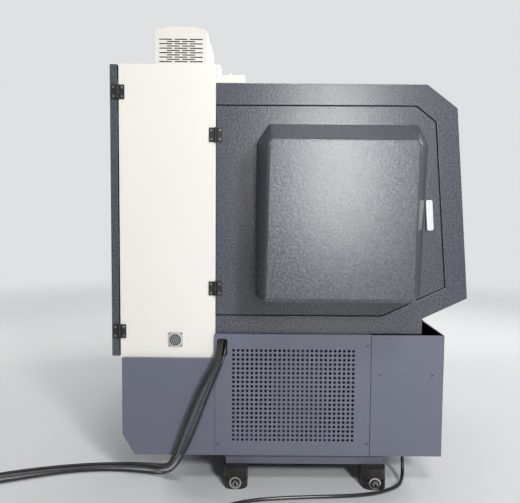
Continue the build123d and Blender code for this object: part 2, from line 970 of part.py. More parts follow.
button_row_z = console_z[0] + 90
stop_x = console_x[1] - 75
start_x = console_x[0] + 90
knob_x = start_x + 120
wheel_x = knob_x + 130


def control_console():
    """Control housing on the front wall, with its display and the wells of its buttons."""
    low, high = console_z
    housing = prism(
        [
            (console_y, low),
            (console_y, high),
            (front_wall_y(high), high),
            (front_wall_y(low), low),
        ],
        *console_x,
    )
    housing -= block(*screen_x, console_y - 1, console_y + screen_depth, *screen_z)
    wells = (
        (stop_x, button_radius + loose, 20),
        (start_x, button_radius + loose, 14),
        (knob_x, 5 + running, 16),
        (wheel_x, 6 + running, 16),
    )
    for x, radius, depth in wells:
        housing -= cross_rod(x, console_y - 1, console_y + depth, button_row_z, radius)
    return Compound(children=[housing, control_screen()])


def control_screen():
    """Display in the console's recess."""
    return block(
        screen_x[0] + loose,
        screen_x[1] - loose,
        console_y + 1,
        console_y + screen_depth,
        screen_z[0] + loose,
        screen_z[1] - loose,
    )


def emergency_stop():
    """Mushroom button with its stem."""
    top = console_y - stop_height
    head = cross_rod(stop_x, top, top + 20, button_row_z, stop_radius)
    head = fillet(head.edges().filter_by(GeomType.CIRCLE).sort_by(Axis.Y)[0], 6)
    return head + cross_rod(stop_x, top + 20, console_y + 12, button_row_z, button_radius)


def start_button():
    """Push button in its well."""
    return cross_rod(start_x, console_y - 8, console_y + 8, button_row_z, button_radius)


def feed_knob():
    """Feed override knob with a pointer rib."""
    knob = cross_rod(knob_x, console_y - 20, console_y - 1, button_row_z, knob_radius)
    knob += block(
        knob_x - 2.5,
        knob_x + 2.5,
        console_y - 23,
        console_y - 20,
        button_row_z - 4,
        button_row_z + knob_radius,
    )
    return knob + cross_rod(knob_x, console_y - 1, console_y + 14, button_row_z, 5)


def handwheel():
    """Pulse handwheel with its small crank knob."""
    wheel = cross_rod(wheel_x, console_y - 18, console_y - 1, button_row_z, handwheel_radius)
    wheel += cross_rod(wheel_x + 22, console_y - 33, console_y - 18, button_row_z, 6)
    return wheel + cross_rod(wheel_x, console_y - 1, console_y + 14, button_row_z, 6)


def electrical_cabinet():
    """White cabinet on the base's shelf, open towards its rear door."""
    case = block(end_x, cabinet_x, wall_y, cabinet_rear_y, shelf_top, cabinet_top)
    case -= block(
        end_x + sheet,
        cabinet_x - sheet,
        wall_y + sheet,
        cabinet_rear_y,
        shelf_top + sheet,
        cabinet_top - sheet,
    )
    return case - rod(end_x - 1, end_x + sheet + 1, socket_y, socket_z, socket_bore + loose)


def cabinet_rear_door():
    """Rear door, a folded pan."""
    low, high = shelf_top + 5, cabinet_top - 3
    near = rear_y - rear_door_depth
    leaf = block(end_x, cabinet_x, near, rear_y, low, high)
    return leaf - block(
        end_x + sheet, cabinet_x - sheet, near, rear_y - sheet, low + sheet, high - sheet
    )


def cabinet_drives():
    """Mounting plate with the servo drives, contactors and transformer."""
    near = wall_y + sheet + plate_standoff
    face = near + plate_thickness
    x0, x1 = end_x + plate_margin, cabinet_x - plate_margin
    z0, z1 = shelf_top + plate_margin + plate_standoff, cabinet_top - plate_margin
    plate = block(x0, x1, near, face, z0, z1)
    spacer = plate_standoff
    for x in (x0 + 2 * spacer, x1 - 3 * spacer):
        for z in (z0 + 3 * spacer, z1 - 4 * spacer):
            plate += block(x, x + spacer, wall_y + sheet, near, z, z + spacer)
    drives_low = z1 - 2 * row_margin - drive_size[2]
    for i in range(drive_count):
        x = x0 + row_margin + i * drive_pitch
        plate += standing(x, face, drives_low, drive_size)
    contactors_low = drives_low - contactor_drop - contactor_size[2]
    for i in range(contactor_count):
        x = x0 + row_margin + i * contactor_pitch
        plate += standing(x, face, contactors_low, contactor_size)
    return plate + standing(x0 + row_margin, face, z0 + row_margin, transformer_size)


def standing(x, y, z, size):
    """A box of a size, from its lowest corner."""
    return block(x, x + size[0], y, y + size[1], z, z + size[2])


def air_conditioner():
    """Cooling unit on the cabinet's roof, with rows of louvre slots."""
    mid = cooler_y
    half = cooler_width / 2
    top = cabinet_top + cooler_height
    shell_outline = [
        (mid - half, cabinet_top),
        (mid + half, cabinet_top),
        (mid + half, top - cooler_fall),
        (mid + half - cooler_shoulder, top),
        (mid - half + cooler_shoulder, top),
        (mid - half, top - cooler_fall),
    ]
    end = cooler_x + cooler_length
    case = prism(shell_outline, cooler_x, end)
    case -= prism(inset(shell_outline, sheet), cooler_x + sheet, end - sheet)
    slots = []
    for row in range(slot_rows):
        count = 3 if row % 2 == 0 else 2
        z = slots_low + row * row_pitch
        for i in range(count):
            y = mid + (i - (count - 1) / 2) * slot_pitch
            slots.append(
                block(
                    cooler_x - 1,
                    cooler_x + sheet + 1,
                    y - slot_width / 2,
                    y + slot_width / 2,
                    z,
                    z + slot_height,
                )
            )
    return case - slots


def power_socket():
    """Round socket: square plate with its insert."""
    half = socket_plate / 2
    plate = block(
        end_x - 4, end_x, socket_y - half, socket_y + half, socket_z - half, socket_z + half
    )
    plate += rod(end_x - socket_reach, end_x - 4, socket_y, socket_z, socket_bore + 3)
    insert = rod(end_x - socket_reach + 2, end_x + 18, socket_y, socket_z, socket_bore)
    return plate + insert


def cable_trunk():
    """White trunk over the roof beside the cabinet."""
    low = block(
        end_x,
        end_x + trunk_depth,
        wall_y - trunk_length,
        wall_y,
        enclosure_top,
        enclosure_top + trunk_height,
    )
    return low + block(
        end_x, end_x + trunk_depth, wall_y - trunk_thickness, wall_y, enclosure_top, cabinet_top
    )


# Cables: the points of their routes are chosen by hand for an end plane at -1000 and a rear
# wall at 358.5, and move with both
route_end_x = -1000
route_wall_y = 358.5
route_shift = Vector(end_x - route_end_x, wall_y - route_wall_y, 0)
outlet_stub = (-915, -493, 135)  # under the tank
cable_routes = {
    "supply_loom": [
        (-1001, 332, 648),
        (-1042, 332, 607),
        (-1068, 358, 545),
        (-1070, 400, 472),
        (-1066, 440, 385),
        (-1060, 474, 298),
        (-1054, 502, 222),
        (-1050, 530, 146),
        (-1014, 556, 98),
        (-954, 584, 60),
        (-893, 622, 29),
        (-854, 685, 14.5),
        (-844, 772, 14.5),
        (-850, 890, 14.5),
        (-870, 1018, 14.5),
        (-902, 1150, 14.5),
        (-948, 1290, 14.5),
        (-1010, 1430, 14.5),
    ],
    "signal_cable": [
        (-1001, 311, 648),
        (-1041, 311, 608),
        (-1063, 328, 556),
        (-1068, 356, 488),
        (-1069, 390, 406),
        (-1068, 421, 322),
        (-1067, 450, 250),
        (-1062, 476, 190),
        (-1047, 500, 138),
        (-1014, 527, 90),
        (-971, 558, 46),
        (-931, 608, 14),
        (-903, 688, 6.5),
        (-888, 785, 6.5),
        (-885, 890, 6.5),
        (-897, 995, 6.5),
        (-922, 1096, 6.5),
        (-955, 1188, 6.5),
        (-989, 1272, 6.5),
        (-1022, 1352, 6.5),
    ],
    "pedal_cable": [
        outlet_stub,
        (-915, -493, 94),
        (-930, -491, 52),
        (-962, -482, 22),
        (-1005, -460, 8),
        (-1044, -412, 8),
        (-1076, -348, 8),
        (-1096, -268, 8),
        (-1106, -172, 8),
        (-1112, -70, 8),
        (-1121, 40, 8),
        (-1134, 150, 8),
        (-1160, 245, 8),
        (-1205, 330, 8),
    ],
}
# Each cable's radius, then its flat coil: turns, side of the route and straight lead-in
cable_radii = {"supply_loom": 14, "signal_cable": 6, "pedal_cable": 7.5}
coil_turns = {"supply_loom": 2, "signal_cable": 3, "pedal_cable": 2}
coil_sides = {"supply_loom": 1, "signal_cable": -1, "pedal_cable": -1}
coil_leads = {"supply_loom": 110, "signal_cable": 55, "pedal_cable": 60}
coil_ratio = 11  # middle of the turns, in cable diameters
coil_tail = 3  # straight end inside the coil, in cable diameters
tail_turn = 55  # degrees that the end turns in from the innermost turn
floor_gap = 0.5  # cables lie this far above the floor, inside their coils' outer shape


def cable_tube(name):
    """A cable's tube: straight runs joined by arcs as large as the runs allow."""
    radius = cable_radii[name]
    corners = [Vector(*p) + route_shift for p in cable_routes[name]]
    radii = []
    for before, here, after in zip(corners, corners[1:], corners[2:]):
        turn = (here - before).get_angle(after - here)
        shorter = min((here - before).length, (after - here).length)
        radii.append(0.45 * shorter / math.tan(math.radians(turn) / 2))
    path = FilletPolyline(*corners, radius=radii)
    tube = sweep(Plane(origin=path @ 0, z_dir=path % 0) * Circle(radius), path=path)
    share = tube.volume / (math.pi * radius**2 * path.length)
    print(name, "radii", [round(r) for r in radii], "length", round(path.length))
    print(name, "smallest in diameters", round(min(radii) / radius / 2, 1), "volume", share)
    return tube


def coil_frame(name):
    """Where a cable's coil starts: its centre, the way in and the way to the centre."""
    before, end = [Vector(*p) + route_shift for p in cable_routes[name][-2:]]
    ahead = Vector(end.X - before.X, end.Y - before.Y, 0).normalized()
    inward = Vector(ahead.Y, -ahead.X, 0) * coil_sides[name]
    radius = cable_radii[name]
    outer_turn = coil_ratio * radius + (coil_turns[name] - 1) * radius
    return end + ahead * coil_leads[name] + inward * outer_turn, ahead, inward


def straight(start, end, radius):
    """A straight round bar between two points."""
    way = end - start
    return extrude(Plane(origin=start, z_dir=way) * Circle(radius), way.length)


def coil_end(name):
    """The cable's end inside its coil, and the way that it points."""
    centre, ahead, inward = coil_frame(name)
    radius = cable_radii[name]
    inner_turn = coil_ratio * radius - (coil_turns[name] - 1) * radius
    leave = centre - inward * inner_turn
    way = ahead.rotate(Axis.Z, -tail_turn * coil_sides[name])
    return leave, leave + way * (2 * coil_tail * radius), way


def cable_coil(name):
    """The outer shape of a flat coil on the floor, with its lead-in and its end."""
    radius = cable_radii[name]
    centre, ahead, inward = coil_frame(name)
    band = coil_turns[name] * radius + floor_gap
    outer, inner = coil_ratio * radius + band, coil_ratio * radius - band
    height = 2 * radius + 2 * floor_gap
    ring = post(centre.X, centre.Y, 0, height, outer)
    ring -= post(centre.X, centre.Y, 0, height, inner)
    end = Vector(*cable_routes[name][-1]) + route_shift
    ring += straight(end, end + ahead * coil_leads[name], radius)
    leave, tip, way = coil_end(name)
    return ring + straight(leave, tip, radius)


def pedal_plug():
    """Round plug on the pedal cable's end: grip, coupling ring and nose."""
    leave, tip, way = coil_end("pedal_cable")
    plug = straight(tip, tip + way * 16, 6.5)
    plug += straight(tip + way * 16, tip + way * 30, 8)
    return plug + straight(tip + way * 30, tip + way * 38, 5.5)


def main():
    parts = {
        "base_frame": base_frame(),
        "perforated_panel": perforated_panel(),
        "levelling_feet": levelling_feet(),
        "coolant_tank": coolant_tank(),
        "chip_tray": chip_tray(),
        "bed_casting": bed_casting(),
        "headstock_casting": headstock_casting(),
        "spindle_bearings": spindle_bearings(),
        "spindle": spindle(),
        "spindle_pulley": grooved_pulley(
            pulley_x, spindle_y, spindle_z, spindle_pulley_radius, rear_journal
        ),
        "drive_belt": drive_belt(),
        "spindle_motor": spindle_motor(),
        "motor_pulley": motor_pulley(),
        "chuck_body": chuck_body(),
        "chuck_jaw_1": chuck_jaw(0),
        "chuck_jaw_2": chuck_jaw(1),
        "chuck_jaw_3": chuck_jaw(2),
        "chuck_cylinder": chuck_cylinder(),
        "draw_tube": draw_tube(),
        "saddle": saddle(),
        "z_ball_screw": z_ball_screw(),
        "z_servo_motor": z_servo_motor(),
        "x_servo_motor": x_servo_motor(),
        "cross_slide": cross_slide(),
        "turret_body": turret_body(),
        "turret_disc": turret_disc(),
        "tailstock_body": tailstock_body(),
        "tailstock_quill": tailstock_quill(),
        "live_centre": live_centre(),
        "end_frame": end_frame(),
        "front_panel": front_panel(),
        "rear_and_roof_panel": rear_and_roof_panel(),
        "right_panel": right_panel(),
        "end_door": end_door(),
        "end_door_cover": end_door_cover(),
        "end_door_lock": end_door_lock(),
        "fixed_hinge_leaves": hinges(end_places + rear_places, False),
        "end_door_hinge_leaves": hinges([(y, z, -s) for y, z, s in end_places], True),
        "rear_door_hinge_leaves": hinges([(y, z, -s) for y, z, s in rear_places], True),
        "sliding_door": sliding_door(),
        "door_window": door_window(),
        "door_handle": door_handle(),
        "control_console": control_console(),
        "emergency_stop": emergency_stop(),
        "start_button": start_button(),
        "feed_knob": feed_knob(),
        "handwheel": handwheel(),
        "electrical_cabinet": electrical_cabinet(),
        "cabinet_rear_door": cabinet_rear_door(),
        "cabinet_drives": cabinet_drives(),
        "air_conditioner": air_conditioner(),
        "power_socket": power_socket(),
        "cable_trunk": cable_trunk(),
    }
    for name in cable_routes:
        parts[name] = cable_tube(name)
        parts[name + "_coil"] = cable_coil(name)
    parts["pedal_plug"] = pedal_plug()
    os.makedirs("parts", exist_ok=True)
    for name, shape in parts.items():
        shape.label = name
        export_step(shape, f"parts/{name}.step")
    print(len(parts), "nodes")


main()
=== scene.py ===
import json
import math

import bmesh
import bpy
from mathutils import Matrix, Vector


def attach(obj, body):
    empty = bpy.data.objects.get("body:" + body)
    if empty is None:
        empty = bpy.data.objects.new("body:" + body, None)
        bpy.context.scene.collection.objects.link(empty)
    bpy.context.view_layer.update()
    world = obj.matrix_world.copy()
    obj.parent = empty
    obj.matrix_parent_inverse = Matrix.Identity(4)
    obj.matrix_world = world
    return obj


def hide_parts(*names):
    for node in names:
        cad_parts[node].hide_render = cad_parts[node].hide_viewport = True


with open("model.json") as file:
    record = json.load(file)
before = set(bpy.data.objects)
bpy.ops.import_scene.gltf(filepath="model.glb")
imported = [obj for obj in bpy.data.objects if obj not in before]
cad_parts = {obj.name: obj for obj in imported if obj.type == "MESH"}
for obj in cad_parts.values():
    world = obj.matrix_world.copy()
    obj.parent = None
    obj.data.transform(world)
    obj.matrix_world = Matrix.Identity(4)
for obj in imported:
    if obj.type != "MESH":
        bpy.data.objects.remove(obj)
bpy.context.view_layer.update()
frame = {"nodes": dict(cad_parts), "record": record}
nodes = frame["nodes"]
bodyOfNode = {n: b for b, held in frame["record"]["behaviour"]["bodies"].items() for n in held}

# small tools used by every piece


def newObject(name, data):
    made = bpy.data.objects.new(name, data)
    bpy.context.scene.collection.objects.link(made)
    return made


def meshObject(name, points, faces, material=None):
    data = bpy.data.meshes.new(name)
    data.from_pydata([tuple(p) for p in points], [], faces)
    made = newObject(name, data)
    if material:
        data.materials.append(material)
    return made


def bakeModifiers(piece):
    graph = bpy.context.evaluated_depsgraph_get()
    baked = bpy.data.meshes.new_from_object(piece.evaluated_get(graph), depsgraph=graph)
    piece.modifiers.clear()
    piece.data = baked
    return piece


def smoothByAngle(piece, degrees=32):
    piece.data.polygons.foreach_set("use_smooth", [True] * len(piece.data.polygons))
    piece.data.set_sharp_from_angle(angle=math.radians(degrees))
    return piece


def evenNormals(piece, degrees=32):
    # keeps large faces flat to the light beside their rounded edges
    smoothByAngle(piece, degrees)
    even = piece.modifiers.new("normals", "WEIGHTED_NORMAL")
    even.keep_sharp = True
    even.weight = 90
    return bakeModifiers(piece)


def faceOutward(piece):
    turned = bmesh.new()
    turned.from_mesh(piece.data)
    bmesh.ops.recalc_face_normals(turned, faces=turned.faces)
    turned.to_mesh(piece.data)
    turned.free()


def nodeIn(tree, kind, given=None, **settings):
    # a new node with its settings; an input takes a value or another node's output
    made = tree.nodes.new(kind)
    for name, value in settings.items():
        setattr(made, name, value)
    for key, value in (given or {}).items():
        if isinstance(value, bpy.types.NodeSocket):
            tree.links.new(value, made.inputs[key])
        else:
            made.inputs[key].default_value = value
    return made


def putOn(piece, body, nodesStoodFor=()):
    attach(piece, body)
    if nodesStoodFor:
        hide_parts(*nodesStoodFor)
    return piece


# camera, floor and light
print("Stage: camera, floor and light")

cameraSet = {
    "place": (-3.240, 0.1665, 1.170),
    "degreesDown": 3.42,
    "degreesRolled": 0.43,
    "lens": 36.0,  # as wide as the sensor
}
lightSet = {
    "worldLight": 0.10,
    "worldColour": (1, 0.995, 0.98, 1),
    "shownInGloss": 0.45,  # share of the background that glossy faces see
    "background": (0.74, 0.75, 0.76),
    "floor": (0.70, 0.705, 0.71),
    "floorSize": 60.0,
    "fadeFrom": 1.5,  # metres from the middle, where the floor turns into the background
    "fadeTo": 8.0,
    "lamps": (  # place, aim, width, height, watts, what it lights
        ((-3.7, -0.50, 1.78), (-1.2, -0.15, 1.35), 0.45, 1.7, 45, "gloss"),
        ((-4.45, -1.46, 2.29), (-1.1, -0.10, 1.20), 0.5, 0.5, 108, "diffuse"),
        ((-3.9, -0.70, 4.60), (-1.1, -0.10, 1.20), 1.2, 0.9, 66, "both"),
        ((1.6, -4.6, 3.6), (0.2, -0.6, 1.0), 2.5, 2.5, 170, "both"),
        ((1.0, 4.8, 3.6), (0.2, 0.6, 1.0), 2.5, 2.5, 130, "both"),
        ((4.8, -0.4, 3.2), (1.2, 0.0, 1.0), 2.0, 2.0, 130, "both"),
    ),
}


def makeCamera():
    down = math.radians(cameraSet["degreesDown"])
    roll = math.radians(cameraSet["degreesRolled"])
    ahead = Vector((math.cos(down), 0, -math.sin(down)))
    right = Vector((0, -1, 0))
    below = ahead.cross(right)
    if below.z > 0:
        below.negate()
    across = right * math.cos(roll) - below * math.sin(roll)
    upward = -(below * math.cos(roll) + right * math.sin(roll))
    data = bpy.data.cameras.new("viewCamera")
    data.sensor_width = 36.0
    data.lens = cameraSet["lens"]
    data.clip_end = 200
    camera = newObject("viewCamera", data)
    turn = Matrix((across, upward, -ahead)).transposed().to_4x4()
    camera.matrix_world = Matrix.Translation(cameraSet["place"]) @ turn
    bpy.context.scene.camera = camera


def makeWorld():
    world = bpy.data.worlds.new("softRoom")
    bpy.context.scene.world = world
    world.use_nodes = True
    tree = world.node_tree
    tree.nodes.clear()
    rays = nodeIn(tree, "ShaderNodeLightPath").outputs
    gloss = nodeIn(tree, "ShaderNodeMath", {0: rays["Is Glossy Ray"],
                                            1: lightSet["shownInGloss"]}, operation="MULTIPLY")
    seen = nodeIn(tree, "ShaderNodeMath", {0: rays["Is Camera Ray"], 1: gloss.outputs[0]},
                  operation="MAXIMUM")
    through = nodeIn(tree, "ShaderNodeMath", {0: seen.outputs[0],
                                              1: rays["Is Transmission Ray"]},
                     operation="MAXIMUM")
    light = nodeIn(tree, "ShaderNodeBackground", {"Color": lightSet["worldColour"],
                                                  "Strength": lightSet["worldLight"]})
    shown = nodeIn(tree, "ShaderNodeBackground", {"Color": (*lightSet["background"], 1)})
    mixed = nodeIn(tree, "ShaderNodeMixShader",
                   {0: through.outputs[0], 1: light.outputs[0], 2: shown.outputs[0]})
    nodeIn(tree, "ShaderNodeOutputWorld", {"Surface": mixed.outputs[0]})


def makeLamps():
    for i, (place, aim, width, height, watts, lights) in enumerate(lightSet["lamps"]):
        data = bpy.data.lights.new(f"softLamp{i}", "AREA")
        data.shape = "RECTANGLE"
        data.size = width
        data.size_y = height
        data.energy = watts
        lamp = newObject(f"softLamp{i}", data)
        lamp.location = place
        lamp.visible_glossy = lights != "diffuse"
        lamp.visible_diffuse = lights != "gloss"
        way = Vector(aim) - Vector(place)
        lamp.rotation_euler = way.to_track_quat("-Z", "Y").to_euler()


makeCamera()
makeWorld()
makeLamps()
bpy.context.scene.view_settings.view_transform = "Standard"

# finishes
print("Stage: finishes")


grainSet = {"cloudDetail": 5, "fineDetail": 3, "fineLow": 0.3, "fineHigh": 0.7,
            "dimpleShare": 0.8, "coatRough": 0.12, "leastRough": 0.02}


def paintedFinish(name, colour, rough=0.45, metal=0.0, grain=150, depth=0.0002, mottle=0.06,
                  mottleScale=6, roughSpread=0.06, coat=0.0, stretch=(1, 1, 1), cells=0.0,
                  specular=0.5, contrast=1.6):
    # mottled colour, grain as bump and uneven gloss, all on Object coordinates
    made = bpy.data.materials.new(name)
    made.use_nodes = True
    made.diffuse_color = (*colour, 1)
    tree = made.node_tree
    shader = tree.nodes["Principled BSDF"].inputs
    shader["Metallic"].default_value = metal
    shader["Coat Weight"].default_value = coat
    shader["Coat Roughness"].default_value = grainSet["coatRough"]
    shader["Specular IOR Level"].default_value = specular
    where = nodeIn(tree, "ShaderNodeTexCoord")
    spread = nodeIn(tree, "ShaderNodeMapping", {"Vector": where.outputs["Object"],
                                                "Scale": stretch}).outputs["Vector"]
    clouds = nodeIn(tree, "ShaderNodeTexNoise", {
        "Vector": spread, "Scale": mottleScale, "Detail": grainSet["cloudDetail"]})
    fine = nodeIn(tree, "ShaderNodeTexNoise", {
        "Vector": spread, "Scale": grain, "Detail": grainSet["fineDetail"]})
    height = fine.outputs["Fac"]
    if cells:  # dimples of a hammered coat
        dimples = nodeIn(tree, "ShaderNodeTexVoronoi", {
            "Vector": spread, "Scale": cells, "Randomness": 1}, feature="SMOOTH_F1")
        height = nodeIn(tree, "ShaderNodeMath", {
            0: dimples.outputs["Distance"], 1: grainSet["dimpleShare"], 2: fine.outputs["Fac"]},
            operation="MULTIPLY_ADD").outputs[0]
    bump = nodeIn(tree, "ShaderNodeBump", {"Height": height, "Strength": 1, "Distance": depth})
    tree.links.new(bump.outputs["Normal"], shader["Normal"])
    blend = nodeIn(tree, "ShaderNodeMath", {
        0: clouds.outputs["Fac"], 1: contrast, 2: 0.5 - contrast / 2},
        operation="MULTIPLY_ADD", use_clamp=True)
    tint = nodeIn(tree, "ShaderNodeMix", {
        "A": (*[c * (1 - mottle) for c in colour], 1),
        "B": (*[min(1, c * (1 + mottle)) for c in colour], 1), "Factor": blend.outputs[0]},
        data_type="RGBA")
    tree.links.new(tint.outputs["Result"], shader["Base Color"])
    gloss = nodeIn(tree, "ShaderNodeMapRange", {
        "Value": fine.outputs["Fac"], "From Min": grainSet["fineLow"],
        "From Max": grainSet["fineHigh"],
        "To Min": max(grainSet["leastRough"], rough - roughSpread),
        "To Max": min(1, rough + roughSpread)})
    tree.links.new(gloss.outputs["Result"], shader["Roughness"])
    return made


# the strong colour speckle at the dimples' scale is partly the coat's random tone and partly
# painted sparkle, standing in for glints off the dimples
hammeredGrey = paintedFinish("hammeredGrey", (0.078, 0.081, 0.100), rough=0.25, grain=420,
                             depth=0.0004, mottle=0.45, mottleScale=125, roughSpread=0.10,
                             specular=0.75, cells=120, contrast=3.2)
smoothGrey = paintedFinish("smoothGrey", (0.143, 0.152, 0.200), rough=0.40, grain=300,
                           depth=0.00010, mottle=0.05, mottleScale=4)
warmWhite = paintedFinish("warmWhite", (0.90, 0.878, 0.825), rough=0.42, grain=260,
                          depth=0.00006, mottle=0.012, mottleScale=3)
hingeBlack = paintedFinish("hingeBlack", (0.018, 0.018, 0.020), rough=0.45, grain=900,
                           depth=0.0001, mottle=0.2, mottleScale=40)
footIron = paintedFinish("footIron", (0.026, 0.024, 0.022), rough=0.42, grain=260, depth=0.0007,
                         mottle=0.5, mottleScale=45, roughSpread=0.2, metal=0.2)
zincSteel = paintedFinish("zincSteel", (0.62, 0.62, 0.60), rough=0.3, metal=1, grain=700,
                          depth=0.00003, mottle=0.12, mottleScale=60, roughSpread=0.12)
darkScrewAndSocketShade = paintedFinish("darkScrewAndSocketShade", (0.030, 0.030, 0.033), rough=0.38, metal=0.6, grain=900,
                          depth=0.00003, mottle=0.2, mottleScale=90)
groundSteel = paintedFinish("groundSteel", (0.46, 0.46, 0.47), rough=0.44, metal=1, grain=300,
                            depth=0.00002, mottle=0.08, mottleScale=30, stretch=(1, 1, 12))
turnedSteel = paintedFinish("turnedSteel", (0.44, 0.44, 0.45), rough=0.42, metal=1, grain=120,
                            depth=0.00003, mottle=0.06, mottleScale=20, stretch=(16, 1, 1))
castingPaint = paintedFinish("castingPaint", (0.30, 0.32, 0.33), rough=0.5, grain=140,
                             depth=0.0004, mottle=0.06, mottleScale=12)
motorBlack = paintedFinish("motorBlack", (0.016, 0.016, 0.018), rough=0.6, grain=350,
                           depth=0.0002, mottle=0.15, mottleScale=25, specular=0.3)
beltRubberAndSeamShade = paintedFinish("beltRubberAndSeamShade", (0.022, 0.022, 0.022), rough=0.75, grain=500,
                           depth=0.0002, mottle=0.2, mottleScale=60)
mattJacket = paintedFinish("mattJacket", (0.030, 0.029, 0.028), rough=0.62, grain=500,
                           depth=0.0001, mottle=0.3, mottleScale=24, roughSpread=0.12)
greyJacket = paintedFinish("greyJacket", (0.105, 0.105, 0.110), rough=0.5, grain=500,
                           depth=0.0001, mottle=0.15, mottleScale=24)
glossJacket = paintedFinish("glossJacket", (0.016, 0.016, 0.018), rough=0.2, grain=400,
                            depth=0.00005, mottle=0.2, mottleScale=20, coat=0.4)
screenGlass = paintedFinish("screenGlass", (0.02, 0.024, 0.03), rough=0.1, grain=60,
                            depth=0.00001, mottle=0.1, mottleScale=8, coat=0.6)
latchWhite = paintedFinish("latchWhite", (0.74, 0.745, 0.76), rough=0.4, grain=500,
                           depth=0.00004, mottle=0.02, mottleScale=30)
stopRed = paintedFinish("stopRed", (0.60, 0.020, 0.018), rough=0.3, grain=500, depth=0.00003,
                        mottle=0.05, mottleScale=40, coat=0.3)
buttonGreen = paintedFinish("buttonGreen", (0.03, 0.32, 0.10), rough=0.3, grain=500,
                            depth=0.00003, mottle=0.05, mottleScale=40, coat=0.3)
socketGrey = paintedFinish("socketGrey", (0.60, 0.585, 0.56), rough=0.4, grain=500,
                           depth=0.00005, mottle=0.06, mottleScale=50)
consoleGrey = paintedFinish("consoleGrey", (0.10, 0.105, 0.125), rough=0.45, grain=500,
                            depth=0.0001, mottle=0.05, mottleScale=10)
drivePlastic = paintedFinish("drivePlastic", (0.055, 0.058, 0.065), rough=0.55, grain=600,
                             depth=0.0001, mottle=0.12, mottleScale=30)
darkInside = paintedFinish("darkInside", (0.012, 0.012, 0.014), rough=0.8, grain=300,
                           depth=0.0002, mottle=0.3, mottleScale=30)
filterDark = paintedFinish("filterDark", (0.040, 0.040, 0.044), rough=0.8, grain=700,
                           depth=0.0004, mottle=0.4, mottleScale=60)
keyPlastic = paintedFinish("keyPlastic", (0.44, 0.45, 0.46), rough=0.5, grain=600,
                           depth=0.00005, mottle=0.04, mottleScale=60)
floorPaint = paintedFinish("floorPaint", lightSet["floor"], rough=0.6, grain=8, depth=0.0002,
                           mottle=0.02, mottleScale=0.8)


windowSet = {"bending": 1.5, "hazeScale": 9, "darker": (0.80, 0.87, 0.86, 1),
             "lighter": (0.86, 0.91, 0.90, 1), "leastRough": 0.01, "mostRough": 0.06}


def windowFinish():
    made = bpy.data.materials.new("windowGlass")
    made.use_nodes = True
    tree = made.node_tree
    shader = tree.nodes["Principled BSDF"].inputs
    shader["Transmission Weight"].default_value = 1
    shader["IOR"].default_value = windowSet["bending"]
    where = nodeIn(tree, "ShaderNodeTexCoord")
    haze = nodeIn(tree, "ShaderNodeTexNoise", {"Vector": where.outputs["Object"],
                                               "Scale": windowSet["hazeScale"]})
    tint = nodeIn(tree, "ShaderNodeMix", {
        "A": windowSet["darker"], "B": windowSet["lighter"], "Factor": haze.outputs["Fac"]},
        data_type="RGBA")
    tree.links.new(tint.outputs["Result"], shader["Base Color"])
    gloss = nodeIn(tree, "ShaderNodeMapRange", {
        "Value": haze.outputs["Fac"], "To Min": windowSet["leastRough"],
        "To Max": windowSet["mostRough"]})
    tree.links.new(gloss.outputs["Result"], shader["Roughness"])
    return made


windowGlass = windowFinish()


def fadeFloor():
    # far from the machine a camera ray finds the background's colour, so no horizon shows
    tree = floorPaint.node_tree
    paint = tree.nodes["Principled BSDF"].outputs[0]
    where = nodeIn(tree, "ShaderNodeTexCoord")
    reach = nodeIn(tree, "ShaderNodeVectorMath", {0: where.outputs["Object"]},
                   operation="LENGTH")
    fade = nodeIn(tree, "ShaderNodeMapRange", {
        "Value": reach.outputs["Value"], "From Min": lightSet["fadeFrom"],
        "From Max": lightSet["fadeTo"]}, interpolation_type="SMOOTHSTEP")
    rays = nodeIn(tree, "ShaderNodeLightPath")
    seen = nodeIn(tree, "ShaderNodeMath", {0: fade.outputs["Result"],
                                           1: rays.outputs["Is Camera Ray"]},
                  operation="MULTIPLY")
    shown = nodeIn(tree, "ShaderNodeEmission", {"Color": (*lightSet["background"], 1)})
    mixed = nodeIn(tree, "ShaderNodeMixShader",
                   {0: seen.outputs[0], 1: paint, 2: shown.outputs[0]})
    tree.links.new(mixed.outputs[0], tree.nodes["Material Output"].inputs["Surface"])


fadeFloor()
floorHalf = lightSet["floorSize"] / 2
floor = meshObject("studioFloor",
                   [(-floorHalf, -floorHalf, 0), (floorHalf, -floorHalf, 0),
                    (floorHalf, floorHalf, 0), (-floorHalf, floorHalf, 0)],
                   [(0, 1, 2, 3)], floorPaint)

# cables
print("Stage: cables")

